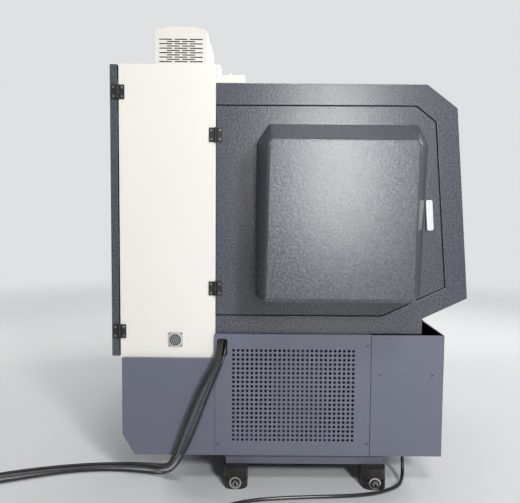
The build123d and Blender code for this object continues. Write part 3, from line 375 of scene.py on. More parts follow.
supplyLoom = {
    "route": [
        (-1.001, 0.332, 0.648), (-1.042, 0.332, 0.607), (-1.068, 0.358, 0.545),
        (-1.070, 0.400, 0.472), (-1.066, 0.440, 0.385), (-1.060, 0.474, 0.298),
        (-1.054, 0.502, 0.222), (-1.050, 0.530, 0.146), (-1.014, 0.556, 0.098),
        (-0.954, 0.584, 0.060), (-0.893, 0.622, 0.029), (-0.854, 0.685, 0.0145),
        (-0.844, 0.772, 0.0145), (-0.850, 0.890, 0.0145), (-0.870, 1.018, 0.0145),
        (-0.902, 1.150, 0.0145), (-0.948, 1.290, 0.0145), (-1.010, 1.430, 0.0145),
    ],
    "radius": 0.014, "turns": 2, "side": 1, "lead": 0.110, "strand": 0.0065,
    "twist": 1.15,  # turns of the strands round each other over the whole length
    "length": 3.53,
}
signalCable = {
    "route": [
        (-1.001, 0.311, 0.648), (-1.041, 0.311, 0.608), (-1.063, 0.328, 0.556),
        (-1.068, 0.356, 0.488), (-1.069, 0.390, 0.406), (-1.068, 0.421, 0.322),
        (-1.067, 0.450, 0.250), (-1.062, 0.476, 0.190), (-1.047, 0.500, 0.138),
        (-1.014, 0.527, 0.090), (-0.971, 0.558, 0.046), (-0.931, 0.608, 0.014),
        (-0.903, 0.688, 0.0065), (-0.888, 0.785, 0.0065), (-0.885, 0.890, 0.0065),
        (-0.897, 0.995, 0.0065), (-0.922, 1.096, 0.0065), (-0.955, 1.188, 0.0065),
        (-0.989, 1.272, 0.0065), (-1.022, 1.352, 0.0065),
    ],
    "radius": 0.006, "turns": 3, "side": -1, "lead": 0.055, "length": 2.72,
}
pedalCable = {
    "route": [
        (-0.915, -0.493, 0.135), (-0.915, -0.493, 0.094), (-0.930, -0.491, 0.052),
        (-0.962, -0.482, 0.022), (-1.005, -0.460, 0.008), (-1.044, -0.412, 0.008),
        (-1.076, -0.348, 0.008), (-1.096, -0.268, 0.008), (-1.106, -0.172, 0.008),
        (-1.112, -0.070, 0.008), (-1.121, 0.040, 0.008), (-1.134, 0.150, 0.008),
        (-1.160, 0.245, 0.008), (-1.205, 0.330, 0.008),
    ],
    "radius": 0.0075, "turns": 2, "side": -1, "lead": 0.060, "length": 2.02,
}
coilSet = {"ratio": 11, "pointsPerTurn": 14, "tailTurn": 55, "tail": 6, "openDegrees": 60,
           "dip": 0.35, "before": 1.6, "nearTip": 2.4}  # in radii of the cable


def coilPoints(cable):
    # the lead-in, the turns side by side and the tail, on from the end of the route
    before, end = (Vector(p) for p in cable["route"][-2:])
    ahead = Vector((end.x - before.x, end.y - before.y, 0)).normalized()
    inward = Vector((ahead.y, -ahead.x, 0)) * cable["side"]
    radius, turns = cable["radius"], cable["turns"]
    outer = (coilSet["ratio"] + turns - 1) * radius
    inner = (coilSet["ratio"] - turns + 1) * radius
    centre = end + ahead * cable["lead"] + inward * outer
    step = 360 / coilSet["pointsPerTurn"]
    spread = 1 / math.cos(math.radians(step / 2))  # the spline passes inside its points
    found = []
    degrees = step / 2
    while degrees < 360 * turns - coilSet["openDegrees"]:
        along = math.radians(degrees)
        reach = (outer - 2 * radius * degrees / 360) * spread
        found.append(centre + (ahead * math.sin(along) - inward * math.cos(along)) * reach)
        degrees += step
    way = ahead.copy()
    way.rotate(Matrix.Rotation(math.radians(-coilSet["tailTurn"] * cable["side"]), 3, "Z"))
    leave = centre - inward * inner
    tip = leave + way * (coilSet["tail"] * radius)
    low = centre - inward * (outer - 2 * radius * turns + coilSet["dip"] * radius)
    found += [low - ahead * coilSet["before"] * radius, tip - way * coilSet["nearTip"] * radius,
              tip]
    return found, tip, way


def routeSpline(name, points, thickness):
    data = bpy.data.curves.new(name, "CURVE")
    data.dimensions = "3D"
    data.resolution_u = 8
    data.bevel_depth = thickness
    data.bevel_resolution = 5
    data.use_fill_caps = True
    spline = data.splines.new("NURBS")
    spline.points.add(len(points) - 1)
    for held, p in zip(spline.points, points):
        held.co = (*p, 1)
    spline.order_u = 3
    spline.use_endpoint_u = True
    return newObject(name, data)


def pointsAlong(curve):
    # points read from a curve with no bevel, with their distance along it
    graph = bpy.context.evaluated_depsgraph_get()
    line = bpy.data.meshes.new_from_object(curve.evaluated_get(graph), depsgraph=graph)
    found = [v.co.copy() for v in line.vertices]
    gone = [0.0]
    for a, b in zip(found, found[1:]):
        gone.append(gone[-1] + (b - a).length)
    return found, gone


def framesAlong(centres):
    # at each centre of a line, two directions across it that don't twist round it
    last = len(centres) - 1
    ways = [(centres[min(i + 1, last)] - centres[max(i - 1, 0)]).normalized()
            for i in range(last + 1)]
    side = ways[0].orthogonal().normalized()
    found = []
    for way in ways:
        side = (side - way * side.dot(way)).normalized()
        found.append((side, way.cross(side)))
    return found


def ringFaces(rings, sides):
    # the faces between rings of points that follow each other
    return [(r * sides + k, r * sides + (k + 1) % sides, (r + 1) * sides + (k + 1) % sides,
             (r + 1) * sides + k) for r in range(rings - 1) for k in range(sides)]


def sweptTube(name, centres, radii, sides=14, material=None):
    points = []
    for centre, radius, (side, other) in zip(centres, radii, framesAlong(centres)):
        for k in range(sides):
            turn = 2 * math.pi * k / sides
            points.append(centre + (side * math.cos(turn) + other * math.sin(turn)) * radius)
    faces = ringFaces(len(centres), sides)
    faces.append(tuple(reversed(range(sides))))
    faces.append(tuple(range(len(points) - sides, len(points))))
    return smoothByAngle(meshObject(name, points, faces, material), 50)


def joinedPieces(name, pieces):
    joined = bmesh.new()
    materials = []
    for piece in pieces:
        start = len(joined.faces)
        first = len(materials)
        materials += list(piece.data.materials)
        joined.from_mesh(piece.data)
        joined.faces.ensure_lookup_table()
        for face in joined.faces[start:]:
            face.material_index += first
    data = bpy.data.meshes.new(name)
    joined.to_mesh(data)
    joined.free()
    kept = []
    for material in materials:
        if material not in kept:
            kept.append(material)
    places = [kept.index(m) for m in materials]
    for face in data.polygons:
        face.material_index = places[face.material_index]
    for material in kept:
        data.materials.append(material)
    for piece in pieces:
        bpy.data.objects.remove(piece)
    return newObject(name, data)


def makeLoom():
    turns = coilPoints(supplyLoom)[0]
    line = routeSpline("supplyLoomLine", [Vector(p) for p in supplyLoom["route"]] + turns, 0)
    centres, gone = pointsAlong(line)
    bpy.data.objects.remove(line)
    offset = supplyLoom["strand"] * 2 / math.sqrt(3)
    frames = framesAlong(centres)
    strands = []
    for k, jacket in enumerate((mattJacket, mattJacket, greyJacket)):
        path = []
        for centre, reached, (side, other) in zip(centres, gone, frames):
            turn = 2 * math.pi * (k / 3 + supplyLoom["twist"] * reached / gone[-1])
            path.append(centre + (side * math.cos(turn) + other * math.sin(turn)) * offset)
        strands.append(sweptTube(f"strand{k}", path, [supplyLoom["strand"]] * len(path), 14,
                                 jacket))
    loom = joinedPieces("supplyLoom", strands)
    putOn(loom, "machine", ("supply_loom", "supply_loom_coil"))


def makeSignalCable():
    turns = coilPoints(signalCable)[0]
    points = [Vector(p) for p in signalCable["route"]] + turns
    cable = routeSpline("signalCable", points, signalCable["radius"])
    cable.data.materials.append(glossJacket)
    putOn(cable, "machine", ("signal_cable", "signal_cable_coil"))


plugProfile = [(0, 0.0072), (0.002, 0.0065), (0.015, 0.0062), (0.016, 0.0079), (0.030, 0.0079),
               (0.0305, 0.0055), (0.038, 0.0053)]  # distance from the cable's end, radius


def makePedalCable():
    turns, tip, way = coilPoints(pedalCable)
    points = [Vector(p) for p in pedalCable["route"]] + turns
    cable = routeSpline("pedalCable", points, pedalCable["radius"])
    cable.data.materials.append(glossJacket)
    putOn(cable, "machine", ("pedal_cable", "pedal_cable_coil"))
    plug = sweptTube("pedalPlug", [tip + way * gone for gone, radius in plugProfile],
                     [radius for gone, radius in plugProfile], 24, drivePlastic)
    putOn(plug, "machine", ("pedal_plug",))


makeLoom()
makeSignalCable()
makePedalCable()

# sheet metal and castings out of the frame
print("Stage: housings and castings")

edgeGroups = (  # finish, width of the rounded edge in metres, steps across it, nodes
    (smoothGrey, 0.0022, 2, "base_frame"),
    (smoothGrey, 0.003, 3, "coolant_tank chip_tray"),
    (castingPaint, 0.004, 2, "bed_casting headstock_casting"),
    (groundSteel, 0.0006, 1, "spindle_bearings"),
    (turnedSteel, 0.001, 1, "spindle spindle_pulley"),
    (beltRubberAndSeamShade, 0.0008, 1, "drive_belt"),
    (motorBlack, 0.002, 2, "spindle_motor"),
    (motorBlack, 0.001, 1, "motor_pulley"),
    (turnedSteel, 0.001, 2, "chuck_body"),
    (groundSteel, 0.001, 1, "chuck_jaw_1 chuck_jaw_2 chuck_jaw_3"),
    (turnedSteel, 0.002, 2, "chuck_cylinder"),
    (turnedSteel, 0.0006, 1, "draw_tube"),
    (castingPaint, 0.002, 2, "saddle"),
    (motorBlack, 0.0015, 2, "z_servo_motor x_servo_motor"),
    (castingPaint, 0.002, 2, "cross_slide"),
    (castingPaint, 0.003, 2, "turret_body"),
    (groundSteel, 0.0015, 2, "turret_disc"),
    (castingPaint, 0.003, 2, "tailstock_body"),
    (turnedSteel, 0.001, 1, "tailstock_quill"),
    (turnedSteel, 0.0006, 1, "live_centre"),
    (hammeredGrey, 0.003, 3, "end_frame"),
    (hammeredGrey, 0.0012, 2, "front_panel rear_and_roof_panel right_panel"),
    (hammeredGrey, 0.003, 3, "end_door"),
    (latchWhite, 0.003, 3, "end_door_lock"),
    (hingeBlack, 0.0007, 2, "fixed_hinge_leaves end_door_hinge_leaves rear_door_hinge_leaves"),
    (hammeredGrey, 0.002, 2, "sliding_door"),
    (windowGlass, 0.001, 1, "door_window"),
    (groundSteel, 0.003, 3, "door_handle"),
    (consoleGrey, 0.003, 2, "control_console"),
    (stopRed, 0.001, 2, "emergency_stop"),
    (buttonGreen, 0.001, 2, "start_button"),
    (drivePlastic, 0.0008, 2, "feed_knob"),
    (drivePlastic, 0.001, 2, "handwheel"),
    (warmWhite, 0.0014, 2, "electrical_cabinet"),
    (hammeredGrey, 0.0014, 2, "cabinet_rear_door"),
    (drivePlastic, 0.003, 2, "cabinet_drives"),
    (warmWhite, 0.002, 2, "cable_trunk"),
    (footIron, 0.0022, 2, "levelling_feet"),
)


def mergedCopy(name, node):
    # the node's triangles merged into whole faces, in a new mesh
    welded = bmesh.new()
    welded.from_mesh(nodes[node].data)
    bmesh.ops.remove_doubles(welded, verts=welded.verts, dist=0.00001)
    bmesh.ops.dissolve_limit(welded, angle_limit=math.radians(0.6), verts=welded.verts,
                             edges=welded.edges)
    data = bpy.data.meshes.new(name)
    welded.to_mesh(data)
    welded.free()
    return newObject(name, data)


def roundEdges(piece, width, steps, degrees=30):
    bevel = piece.modifiers.new("edges", "BEVEL")
    bevel.width = width
    bevel.segments = steps
    bevel.limit_method = "ANGLE"
    bevel.angle_limit = math.radians(degrees)
    bevel.miter_outer = "MITER_ARC"
    bevel.use_clamp_overlap = True
    bakeModifiers(piece)
    return evenNormals(piece)


islandSet = {  # node: finish of its separate small bodies, and their least and most depth along Y
    "levelling_feet": (zincSteel, 0.020, 0.035),
    "control_console": (screenGlass, 0.0, 0.0045),
}


def finishIslands(piece, finish, least, most):
    mesh = bmesh.new()
    mesh.from_mesh(piece.data)
    mesh.faces.ensure_lookup_table()
    left = set(range(len(mesh.faces)))
    picked = []
    while left:
        island, edge = [], [min(left)]
        left.discard(edge[0])
        while edge:
            number = edge.pop()
            island.append(number)
            for vert in mesh.faces[number].verts:
                for face in vert.link_faces:
                    if face.index in left:
                        left.discard(face.index)
                        edge.append(face.index)
        ys = [v.co.y for number in island for v in mesh.faces[number].verts]
        if least < max(ys) - min(ys) < most:
            picked += island
    mesh.free()
    piece.data.materials.append(finish)
    for number in picked:
        piece.data.polygons[number].material_index = 1


def roundedNode(node, finish, width, steps):
    words = node.split("_")
    piece = mergedCopy(words[0] + "".join(w.capitalize() for w in words[1:]), node)
    piece.data.materials.clear()
    piece.data.materials.append(finish)
    roundEdges(piece, width, steps)
    for face in piece.data.polygons:
        face.material_index = 0
    if node in islandSet:
        finishIslands(piece, *islandSet[node])
    return putOn(piece, bodyOfNode[node], (node,))


for finish, width, steps, held in edgeGroups:
    for node in held.split():
        roundedNode(node, finish, width, steps)

# the cover on the end door
print("Stage: end door's cover")

coverSet = {
    "flangeX": -1.003, "faceX": -1.250, "wallY": 0.3585, "sheet": 0.003, "flange": 0.004,
    "rounding": 0.008, "fold": 0.0018, "steps": 4,
    "chinDepth": 0.012, "chinHeight": 0.016,  # the slanting strip along the face's lower edge
    "base": [(-0.175, 0.839), (-0.175, 1.500), (-0.226, 1.579), (-0.862, 1.579),
             (-0.904, 1.494), (-0.885, 0.845)],
    "face": [(-0.212, 0.853), (-0.222, 1.470), (-0.234, 1.482), (-0.790, 1.480),
             (-0.802, 1.468), (-0.792, 0.853)],
}


def offsetLine(corners, reach):
    # the corners of a closed line in (y, z), moved out by a reach at right angles to its sides
    count = len(corners)
    turning = sum(a[0] * b[1] - b[0] * a[1] for a, b in zip(corners, corners[1:] + corners[:1]))
    sign = 1 if turning > 0 else -1
    moved = []
    for i, p in enumerate(corners):
        before, after = corners[i - 1], corners[(i + 1) % count]
        one = Vector((p[0] - before[0], p[1] - before[1])).normalized()
        two = Vector((after[0] - p[0], after[1] - p[1])).normalized()
        outOne = Vector((one.y, -one.x)) * sign
        outTwo = Vector((two.y, -two.x)) * sign
        mid = (outOne + outTwo).normalized()
        moved.append(tuple(Vector(p) + mid * (reach / mid.dot(outOne))))
    return moved


def makeCover():
    wall, faceX = coverSet["wallY"], coverSet["faceX"]
    shell = bmesh.new()
    weight = shell.edges.layers.float.new("bevel_weight_edge")
    rim = [shell.verts.new((coverSet["flangeX"], wall + y, z))
           for y, z in offsetLine(coverSet["base"], coverSet["flange"])]
    rear = [shell.verts.new((coverSet["flangeX"], wall + y, z)) for y, z in coverSet["base"]]
    front = []
    for i, (y, z) in enumerate(coverSet["face"]):
        lift = coverSet["chinHeight"] if i in (0, 5) else 0
        front.append(shell.verts.new((faceX, wall + y, z + lift)))
    chin = [shell.verts.new((faceX + coverSet["chinDepth"], wall + coverSet["face"][i][0],
                             coverSet["face"][i][1])) for i in (0, 5)]
    for i in range(6):
        k = (i + 1) % 6
        shell.faces.new((rim[i], rim[k], rear[k], rear[i]))
    for i in range(1, 4):
        shell.faces.new((rear[i], rear[i + 1], front[i + 1], front[i]))
    shell.faces.new((rear[0], rear[1], front[1], front[0], chin[0]))
    shell.faces.new((rear[4], rear[5], chin[1], front[5], front[4]))
    shell.faces.new((rear[5], rear[0], chin[0], chin[1]))
    shell.faces.new((chin[1], chin[0], front[0], front[5]))
    face = shell.faces.new(front)
    shell.normal_update()
    if face.normal.x > 0:
        bmesh.ops.reverse_faces(shell, faces=shell.faces)
    fold = coverSet["fold"] / coverSet["rounding"]
    for edge in shell.edges:
        ends = set(edge.verts)
        if ends in ({front[0], front[5]}, {chin[0], chin[1]}):
            edge[weight] = fold
        elif ends & set(front + chin):
            edge[weight] = 1
    data = bpy.data.meshes.new("endDoorCover")
    shell.to_mesh(data)
    shell.free()
    cover = newObject("endDoorCover", data)
    data.materials.append(hammeredGrey)
    soft = cover.modifiers.new("edges", "BEVEL")
    soft.limit_method = "WEIGHT"
    soft.width = coverSet["rounding"]
    soft.segments = coverSet["steps"]
    sheet = cover.modifiers.new("wall", "SOLIDIFY")
    sheet.thickness = coverSet["sheet"]
    sheet.offset = -1
    sheet.use_even_offset = True
    bakeModifiers(cover)
    evenNormals(cover, 24)
    putOn(cover, "end_door", ("end_door_cover",))


makeCover()

# node trees for what repeats
print("Stage: node trees")


treeSet = {"cornerSteps": 4, "holeSides": 16, "weld": 0.00002, "slotRounding": 0.45}


def newTree(name, inputs):
    # inputs: name, kind and first value of each
    tree = bpy.data.node_groups.new(name, "GeometryNodeTree")
    tree.interface.new_socket("Geometry", in_out="INPUT", socket_type="NodeSocketGeometry")
    for label, kind, value in inputs:
        socket = tree.interface.new_socket(label, in_out="INPUT",
                                           socket_type="NodeSocket" + kind)
        if value is not None:
            socket.default_value = value
    tree.interface.new_socket("Geometry", in_out="OUTPUT", socket_type="NodeSocketGeometry")
    return tree, tree.nodes.new("NodeGroupInput"), tree.nodes.new("NodeGroupOutput")


def grown(name, tree, values, points=((0, 0, 0),), edges=()):
    # runs a tree on points or lines and keeps the plain mesh that comes out
    data = bpy.data.meshes.new(name)
    data.from_pydata([tuple(p) for p in points], list(edges), [])
    piece = newObject(name, data)
    maker = piece.modifiers.new("maker", "NODES")
    maker.node_group = tree
    for item in tree.interface.items_tree:
        if item.item_type == "SOCKET" and item.in_out == "INPUT" and item.name in values:
            maker[item.identifier] = values[item.name]
    return bakeModifiers(piece)


def scaled(tree, number, factor):
    return nodeIn(tree, "ShaderNodeMath", {0: number, 1: factor}, operation="MULTIPLY").outputs[0]


def spanOf(tree, count, pitch):
    less = nodeIn(tree, "ShaderNodeMath", {0: count, 1: 1}, operation="SUBTRACT")
    return scaled(tree, less.outputs[0], pitch)


def gridOfCuts(tree, columns, rows, columnPitch, rowPitch, centre, cut):
    # the same closed line at every place of a grid
    grid = nodeIn(tree, "GeometryNodeMeshGrid", {
        "Size X": spanOf(tree, columns, columnPitch), "Size Y": spanOf(tree, rows, rowPitch),
        "Vertices X": columns, "Vertices Y": rows})
    moved = nodeIn(tree, "GeometryNodeTransform", {"Geometry": grid.outputs["Mesh"],
                                                   "Translation": centre})
    cuts = nodeIn(tree, "GeometryNodeInstanceOnPoints", {
        "Points": moved.outputs["Geometry"], "Instance": cut})
    real = nodeIn(tree, "GeometryNodeRealizeInstances", {"Geometry": cuts.outputs["Instances"]})
    return real.outputs["Geometry"]


def roundedRectangle(tree, width, height, corner):
    plain = nodeIn(tree, "GeometryNodeCurvePrimitiveQuadrilateral", {"Width": width,
                                                                     "Height": height})
    rounded = nodeIn(tree, "GeometryNodeFilletCurve", {
        "Curve": plain.outputs["Curve"], "Count": treeSet["cornerSteps"],
        "Radius": corner}, mode="POLY")
    return rounded.outputs["Curve"]


def sheetFrom(tree, lines, thickness):
    # fills flat closed lines, the inner ones as holes, and gives the sheet its thickness
    together = nodeIn(tree, "GeometryNodeJoinGeometry")
    for line in lines:
        tree.links.new(line, together.inputs["Geometry"])
    filled = nodeIn(tree, "GeometryNodeFillCurve", {"Curve": together.outputs["Geometry"]})
    front = nodeIn(tree, "GeometryNodeExtrudeMesh", {
        "Individual": False, "Mesh": filled.outputs["Mesh"], "Offset Scale": thickness})
    back = nodeIn(tree, "GeometryNodeFlipFaces", {"Mesh": filled.outputs["Mesh"]})
    closed = nodeIn(tree, "GeometryNodeJoinGeometry")
    for side in (front, back):
        tree.links.new(side.outputs["Mesh"], closed.inputs["Geometry"])
    merged = nodeIn(tree, "GeometryNodeMergeByDistance", {
        "Geometry": closed.outputs["Geometry"], "Distance": treeSet["weld"]})
    return merged.outputs["Geometry"]


def endTree(tree, geometry, given, result):
    real = nodeIn(tree, "GeometryNodeRealizeInstances", {"Geometry": geometry})
    coat = nodeIn(tree, "GeometryNodeSetMaterial", {
        "Geometry": real.outputs["Geometry"], "Material": given.outputs["Material"]})
    tree.links.new(coat.outputs["Geometry"], result.inputs["Geometry"])


def perforatedTree():
    # a sheet with a grid of round holes and one rounded cut-out, lying in XY
    tree, given, result = newTree("perforatedSheet", [
        ("Width", "Float", 0.675), ("Height", "Float", 0.536), ("Thickness", "Float", 0.003),
        ("Column Pitch", "Float", 0.02), ("Row Pitch", "Float", 0.02),
        ("Hole Radius", "Float", 0.006), ("Columns", "Int", 27), ("Rows", "Int", 21),
        ("Grid Centre", "Vector", (0, 0, 0)), ("Cut Width", "Float", 0.045),
        ("Cut Height", "Float", 0.076), ("Cut Corner", "Float", 0.012),
        ("Cut Centre", "Vector", (0, 0, 0)), ("Material", "Material", None)])
    told = given.outputs
    sheet = nodeIn(tree, "GeometryNodeCurvePrimitiveQuadrilateral", {
        "Width": told["Width"], "Height": told["Height"]})
    hole = nodeIn(tree, "GeometryNodeCurvePrimitiveCircle", {
        "Resolution": treeSet["holeSides"], "Radius": told["Hole Radius"]})
    holes = gridOfCuts(tree, told["Columns"], told["Rows"], told["Column Pitch"],
                       told["Row Pitch"], told["Grid Centre"], hole.outputs["Curve"])
    cut = roundedRectangle(tree, told["Cut Width"], told["Cut Height"], told["Cut Corner"])
    placed = nodeIn(tree, "GeometryNodeTransform", {"Geometry": cut,
                                                    "Translation": told["Cut Centre"]})
    lines = (sheet.outputs["Curve"], holes, placed.outputs["Geometry"])
    endTree(tree, sheetFrom(tree, lines, told["Thickness"]), given, result)
    return tree


def louvredTree():
    # a sheet of the outline given, with long and short rows of slots by turns
    tree, given, result = newTree("louvredSheet", [
        ("Thickness", "Float", 0.003), ("Slot Width", "Float", 0.064),
        ("Slot Height", "Float", 0.0055), ("Slot Pitch", "Float", 0.075),
        ("Row Pitch", "Float", 0.0107), ("Long Row", "Int", 3), ("Long Rows", "Int", 6),
        ("Short Row", "Int", 2), ("Short Rows", "Int", 5), ("Rows Centre", "Vector", (0, 0, 0)),
        ("Material", "Material", None)])
    told = given.outputs
    rim = nodeIn(tree, "GeometryNodeMeshToCurve", {"Mesh": told["Geometry"]})
    slotLine = roundedRectangle(tree, told["Slot Width"], told["Slot Height"],
                                scaled(tree, told["Slot Height"], treeSet["slotRounding"]))
    rowStep = scaled(tree, told["Row Pitch"], 2)
    lines = [rim.outputs["Curve"]]
    for length in ("Long", "Short"):
        lines.append(gridOfCuts(tree, told[f"{length} Row"], told[f"{length} Rows"],
                                told["Slot Pitch"], rowStep, told["Rows Centre"], slotLine))
    endTree(tree, sheetFrom(tree, lines, told["Thickness"]), given, result)
    return tree


def headTree():
    # a low head on every point given: a screw, a washer, a thin hexagon lying on a head in place
    # of its socket, or a key with four sides
    tree, given, result = newTree("lowHeads", [
        ("Head Radius", "Float", 0.006), ("Top Share", "Float", 0.7),
        ("Head Height", "Float", 0.003), ("Sides", "Int", 16), ("Spin", "Float", 0.0),
        ("Facing", "Vector", (0, 0, 0)), ("Material", "Material", None)])
    told = given.outputs
    head = nodeIn(tree, "GeometryNodeMeshCone", {
        "Vertices": told["Sides"], "Depth": told["Head Height"],
        "Radius Bottom": told["Head Radius"],
        "Radius Top": scaled(tree, told["Head Radius"], told["Top Share"])})
    spin = nodeIn(tree, "ShaderNodeCombineXYZ", {"Z": told["Spin"]})
    spun = nodeIn(tree, "GeometryNodeTransform", {"Geometry": head.outputs["Mesh"],
                                                  "Rotation": spin.outputs["Vector"]})
    dots = nodeIn(tree, "GeometryNodeMeshToPoints", {"Mesh": told["Geometry"]})
    turn = nodeIn(tree, "FunctionNodeEulerToRotation", {"Euler": told["Facing"]})
    copies = nodeIn(tree, "GeometryNodeInstanceOnPoints", {
        "Points": dots.outputs["Points"], "Instance": spun.outputs["Geometry"],
        "Rotation": turn.outputs["Rotation"]})
    endTree(tree, copies.outputs["Instances"], given, result)
    return tree


# perforated panel of the motor room
print("Stage: perforated panel")

panelSet = {
    "Width": 0.675, "Height": 0.536, "Thickness": 0.003, "Column Pitch": 0.01998,
    "Row Pitch": 0.01973, "Hole Radius": 0.0060, "Columns": 27, "Rows": 21,
    "Cut Width": 0.045, "Cut Height": 0.076, "Cut Corner": 0.012, "Material": smoothGrey,
}
panelPlace = {"outerX": -1.020, "middleY": 0.020, "middleZ": 0.411, "gridY": 0.0180,
              "gridZ": 0.4104, "cutY": 0.327, "cutZ": 0.621}


def standingAt(x, y, z):
    # turns a flat sheet in XY to stand across X, its thickness towards +X
    return Matrix(((0, 0, 1, x), (1, 0, 0, y), (0, 1, 0, z), (0, 0, 0, 1)))


def makePerforatedPanel():
    values = dict(panelSet)
    values["Grid Centre"] = (panelPlace["gridY"] - panelPlace["middleY"],
                             panelPlace["gridZ"] - panelPlace["middleZ"], 0)
    values["Cut Centre"] = (panelPlace["cutY"] - panelPlace["middleY"],
                            panelPlace["cutZ"] - panelPlace["middleZ"], 0)
    panel = grown("perforatedPanel", perforatedTree(), values)
    panel.data.transform(standingAt(panelPlace["outerX"], panelPlace["middleY"],
                                    panelPlace["middleZ"]))
    smoothByAngle(panel, 40)
    putOn(panel, "machine", ("perforated_panel",))


makePerforatedPanel()

# air conditioner on the cabinet's roof
print("Stage: air conditioner")

coolerSet = {
    "frontX": -0.640, "rearX": -0.260, "middleY": 0.561, "low": 1.828, "high": 2.111,
    "halfWidth": 0.1265, "shoulder": 0.057, "fall": 0.016, "sheet": 0.003, "corner": 0.012,
    "cornerSteps": 5, "filterGap": 0.010,
}
louvreSet = {
    "Thickness": 0.003, "Slot Width": 0.064, "Slot Height": 0.0055, "Slot Pitch": 0.0747,
    "Row Pitch": 0.0107, "Long Row": 3, "Long Rows": 6, "Short Row": 2, "Short Rows": 5,
    "Material": warmWhite,
}
louvreMiddleZ = 1.99775


def coolerOutline(inset=0.0):
    # the case seen from its end, its upper corners rounded
    half, high = coolerSet["halfWidth"] - inset, coolerSet["high"] - inset
    low, fall = coolerSet["low"] + inset, coolerSet["fall"]
    corners = [(-half, low), (half, low), (half, high - fall),
               (half - coolerSet["shoulder"], high), (-half + coolerSet["shoulder"], high),
               (-half, high - fall)]
    found = corners[:2]
    for i in range(2, 6):
        here = Vector(corners[i])
        before = (Vector(corners[i - 1]) - here).normalized()
        after = (Vector(corners[(i + 1) % 6]) - here).normalized()
        halfTurn = before.angle(after) / 2
        reach = coolerSet["corner"] / math.tan(halfTurn)
        centre = here + (before + after).normalized() * coolerSet["corner"] / math.sin(halfTurn)
        start, end = here + before * reach - centre, here + after * reach - centre
        for k in range(coolerSet["cornerSteps"] + 1):
            share = k / coolerSet["cornerSteps"]
            found.append(tuple(centre + start.lerp(end, share).normalized()
                               * coolerSet["corner"]))
    return found


def makeAirConditioner():
    outer, inner = coolerOutline(), coolerOutline(coolerSet["sheet"])
    count = len(outer)
    middle, wall = coolerSet["middleY"], coolerSet["sheet"]
    frontX, rearX = coolerSet["frontX"], coolerSet["rearX"]
    flat = [(y, z - louvreMiddleZ, 0) for y, z in outer]
    rim = [(i, (i + 1) % count) for i in range(count)]
    front = grown("coolerFront", louvredTree(), louvreSet, flat, rim)
    front.data.transform(standingAt(frontX, middle, louvreMiddleZ))
    points, faces = [], []
    for line, x in ((outer, frontX + wall), (outer, rearX), (inner, frontX + wall),
                    (inner, rearX - wall)):
        points += [(x, middle + y, z) for y, z in line]
    for i in range(count):
        k = (i + 1) % count
        faces.append((i, k, count + k, count + i))
        faces.append((2 * count + k, 2 * count + i, 3 * count + i, 3 * count + k))
        faces.append((k, i, 2 * count + i, 2 * count + k))
    faces.append(tuple(range(count, 2 * count)))
    faces.append(tuple(reversed(range(3 * count, 4 * count))))
    case = meshObject("coolerCase", points, faces, warmWhite)
    filterX = frontX + coolerSet["filterGap"]
    slab = [(x, middle + y, z) for x in (filterX, filterX + 0.004) for y, z in inner]
    sides = [(i, (i + 1) % count, count + (i + 1) % count, count + i) for i in range(count)]
    filterMat = meshObject("coolerFilter", slab, sides + [tuple(reversed(range(count))),
                           tuple(range(count, 2 * count))], filterDark)
    whole = joinedPieces("airConditioner", [front, case, filterMat])
    smoothByAngle(whole, 30)
    putOn(whole, "machine", ("air_conditioner",))


makeAirConditioner()

# round socket on the cabinet's end
print("Stage: socket")

socketSet = {
    "faceX": -1.000, "y": 0.5315, "z": 0.650, "plate": 0.0325, "corner": 0.007,
    "plateDepth": 0.004, "ring": 0.0275, "bore": 0.0245, "reach": 0.012, "ribs": 5,
    "ribWidth": 0.0032, "ribPitch": 0.0082, "ribLean": 25, "ribReach": 0.021,
}


def lathed(name, profile, sides, material, centre):
    # a turned piece along -X, from (distance, radius) pairs, closed at both ends
    x, y, z = centre
    points = []
    for gone, radius in profile:
        for k in range(sides):
            turn = 2 * math.pi * k / sides
            points.append((x - gone, y + radius * math.cos(turn), z + radius * math.sin(turn)))
    faces = [(a, d, c, b) for a, b, c, d in ringFaces(len(profile), sides)]
    faces.append(tuple(range(sides)))
    faces.append(tuple(reversed(range(len(points) - sides, len(points)))))
    return meshObject(name, points, faces, material)


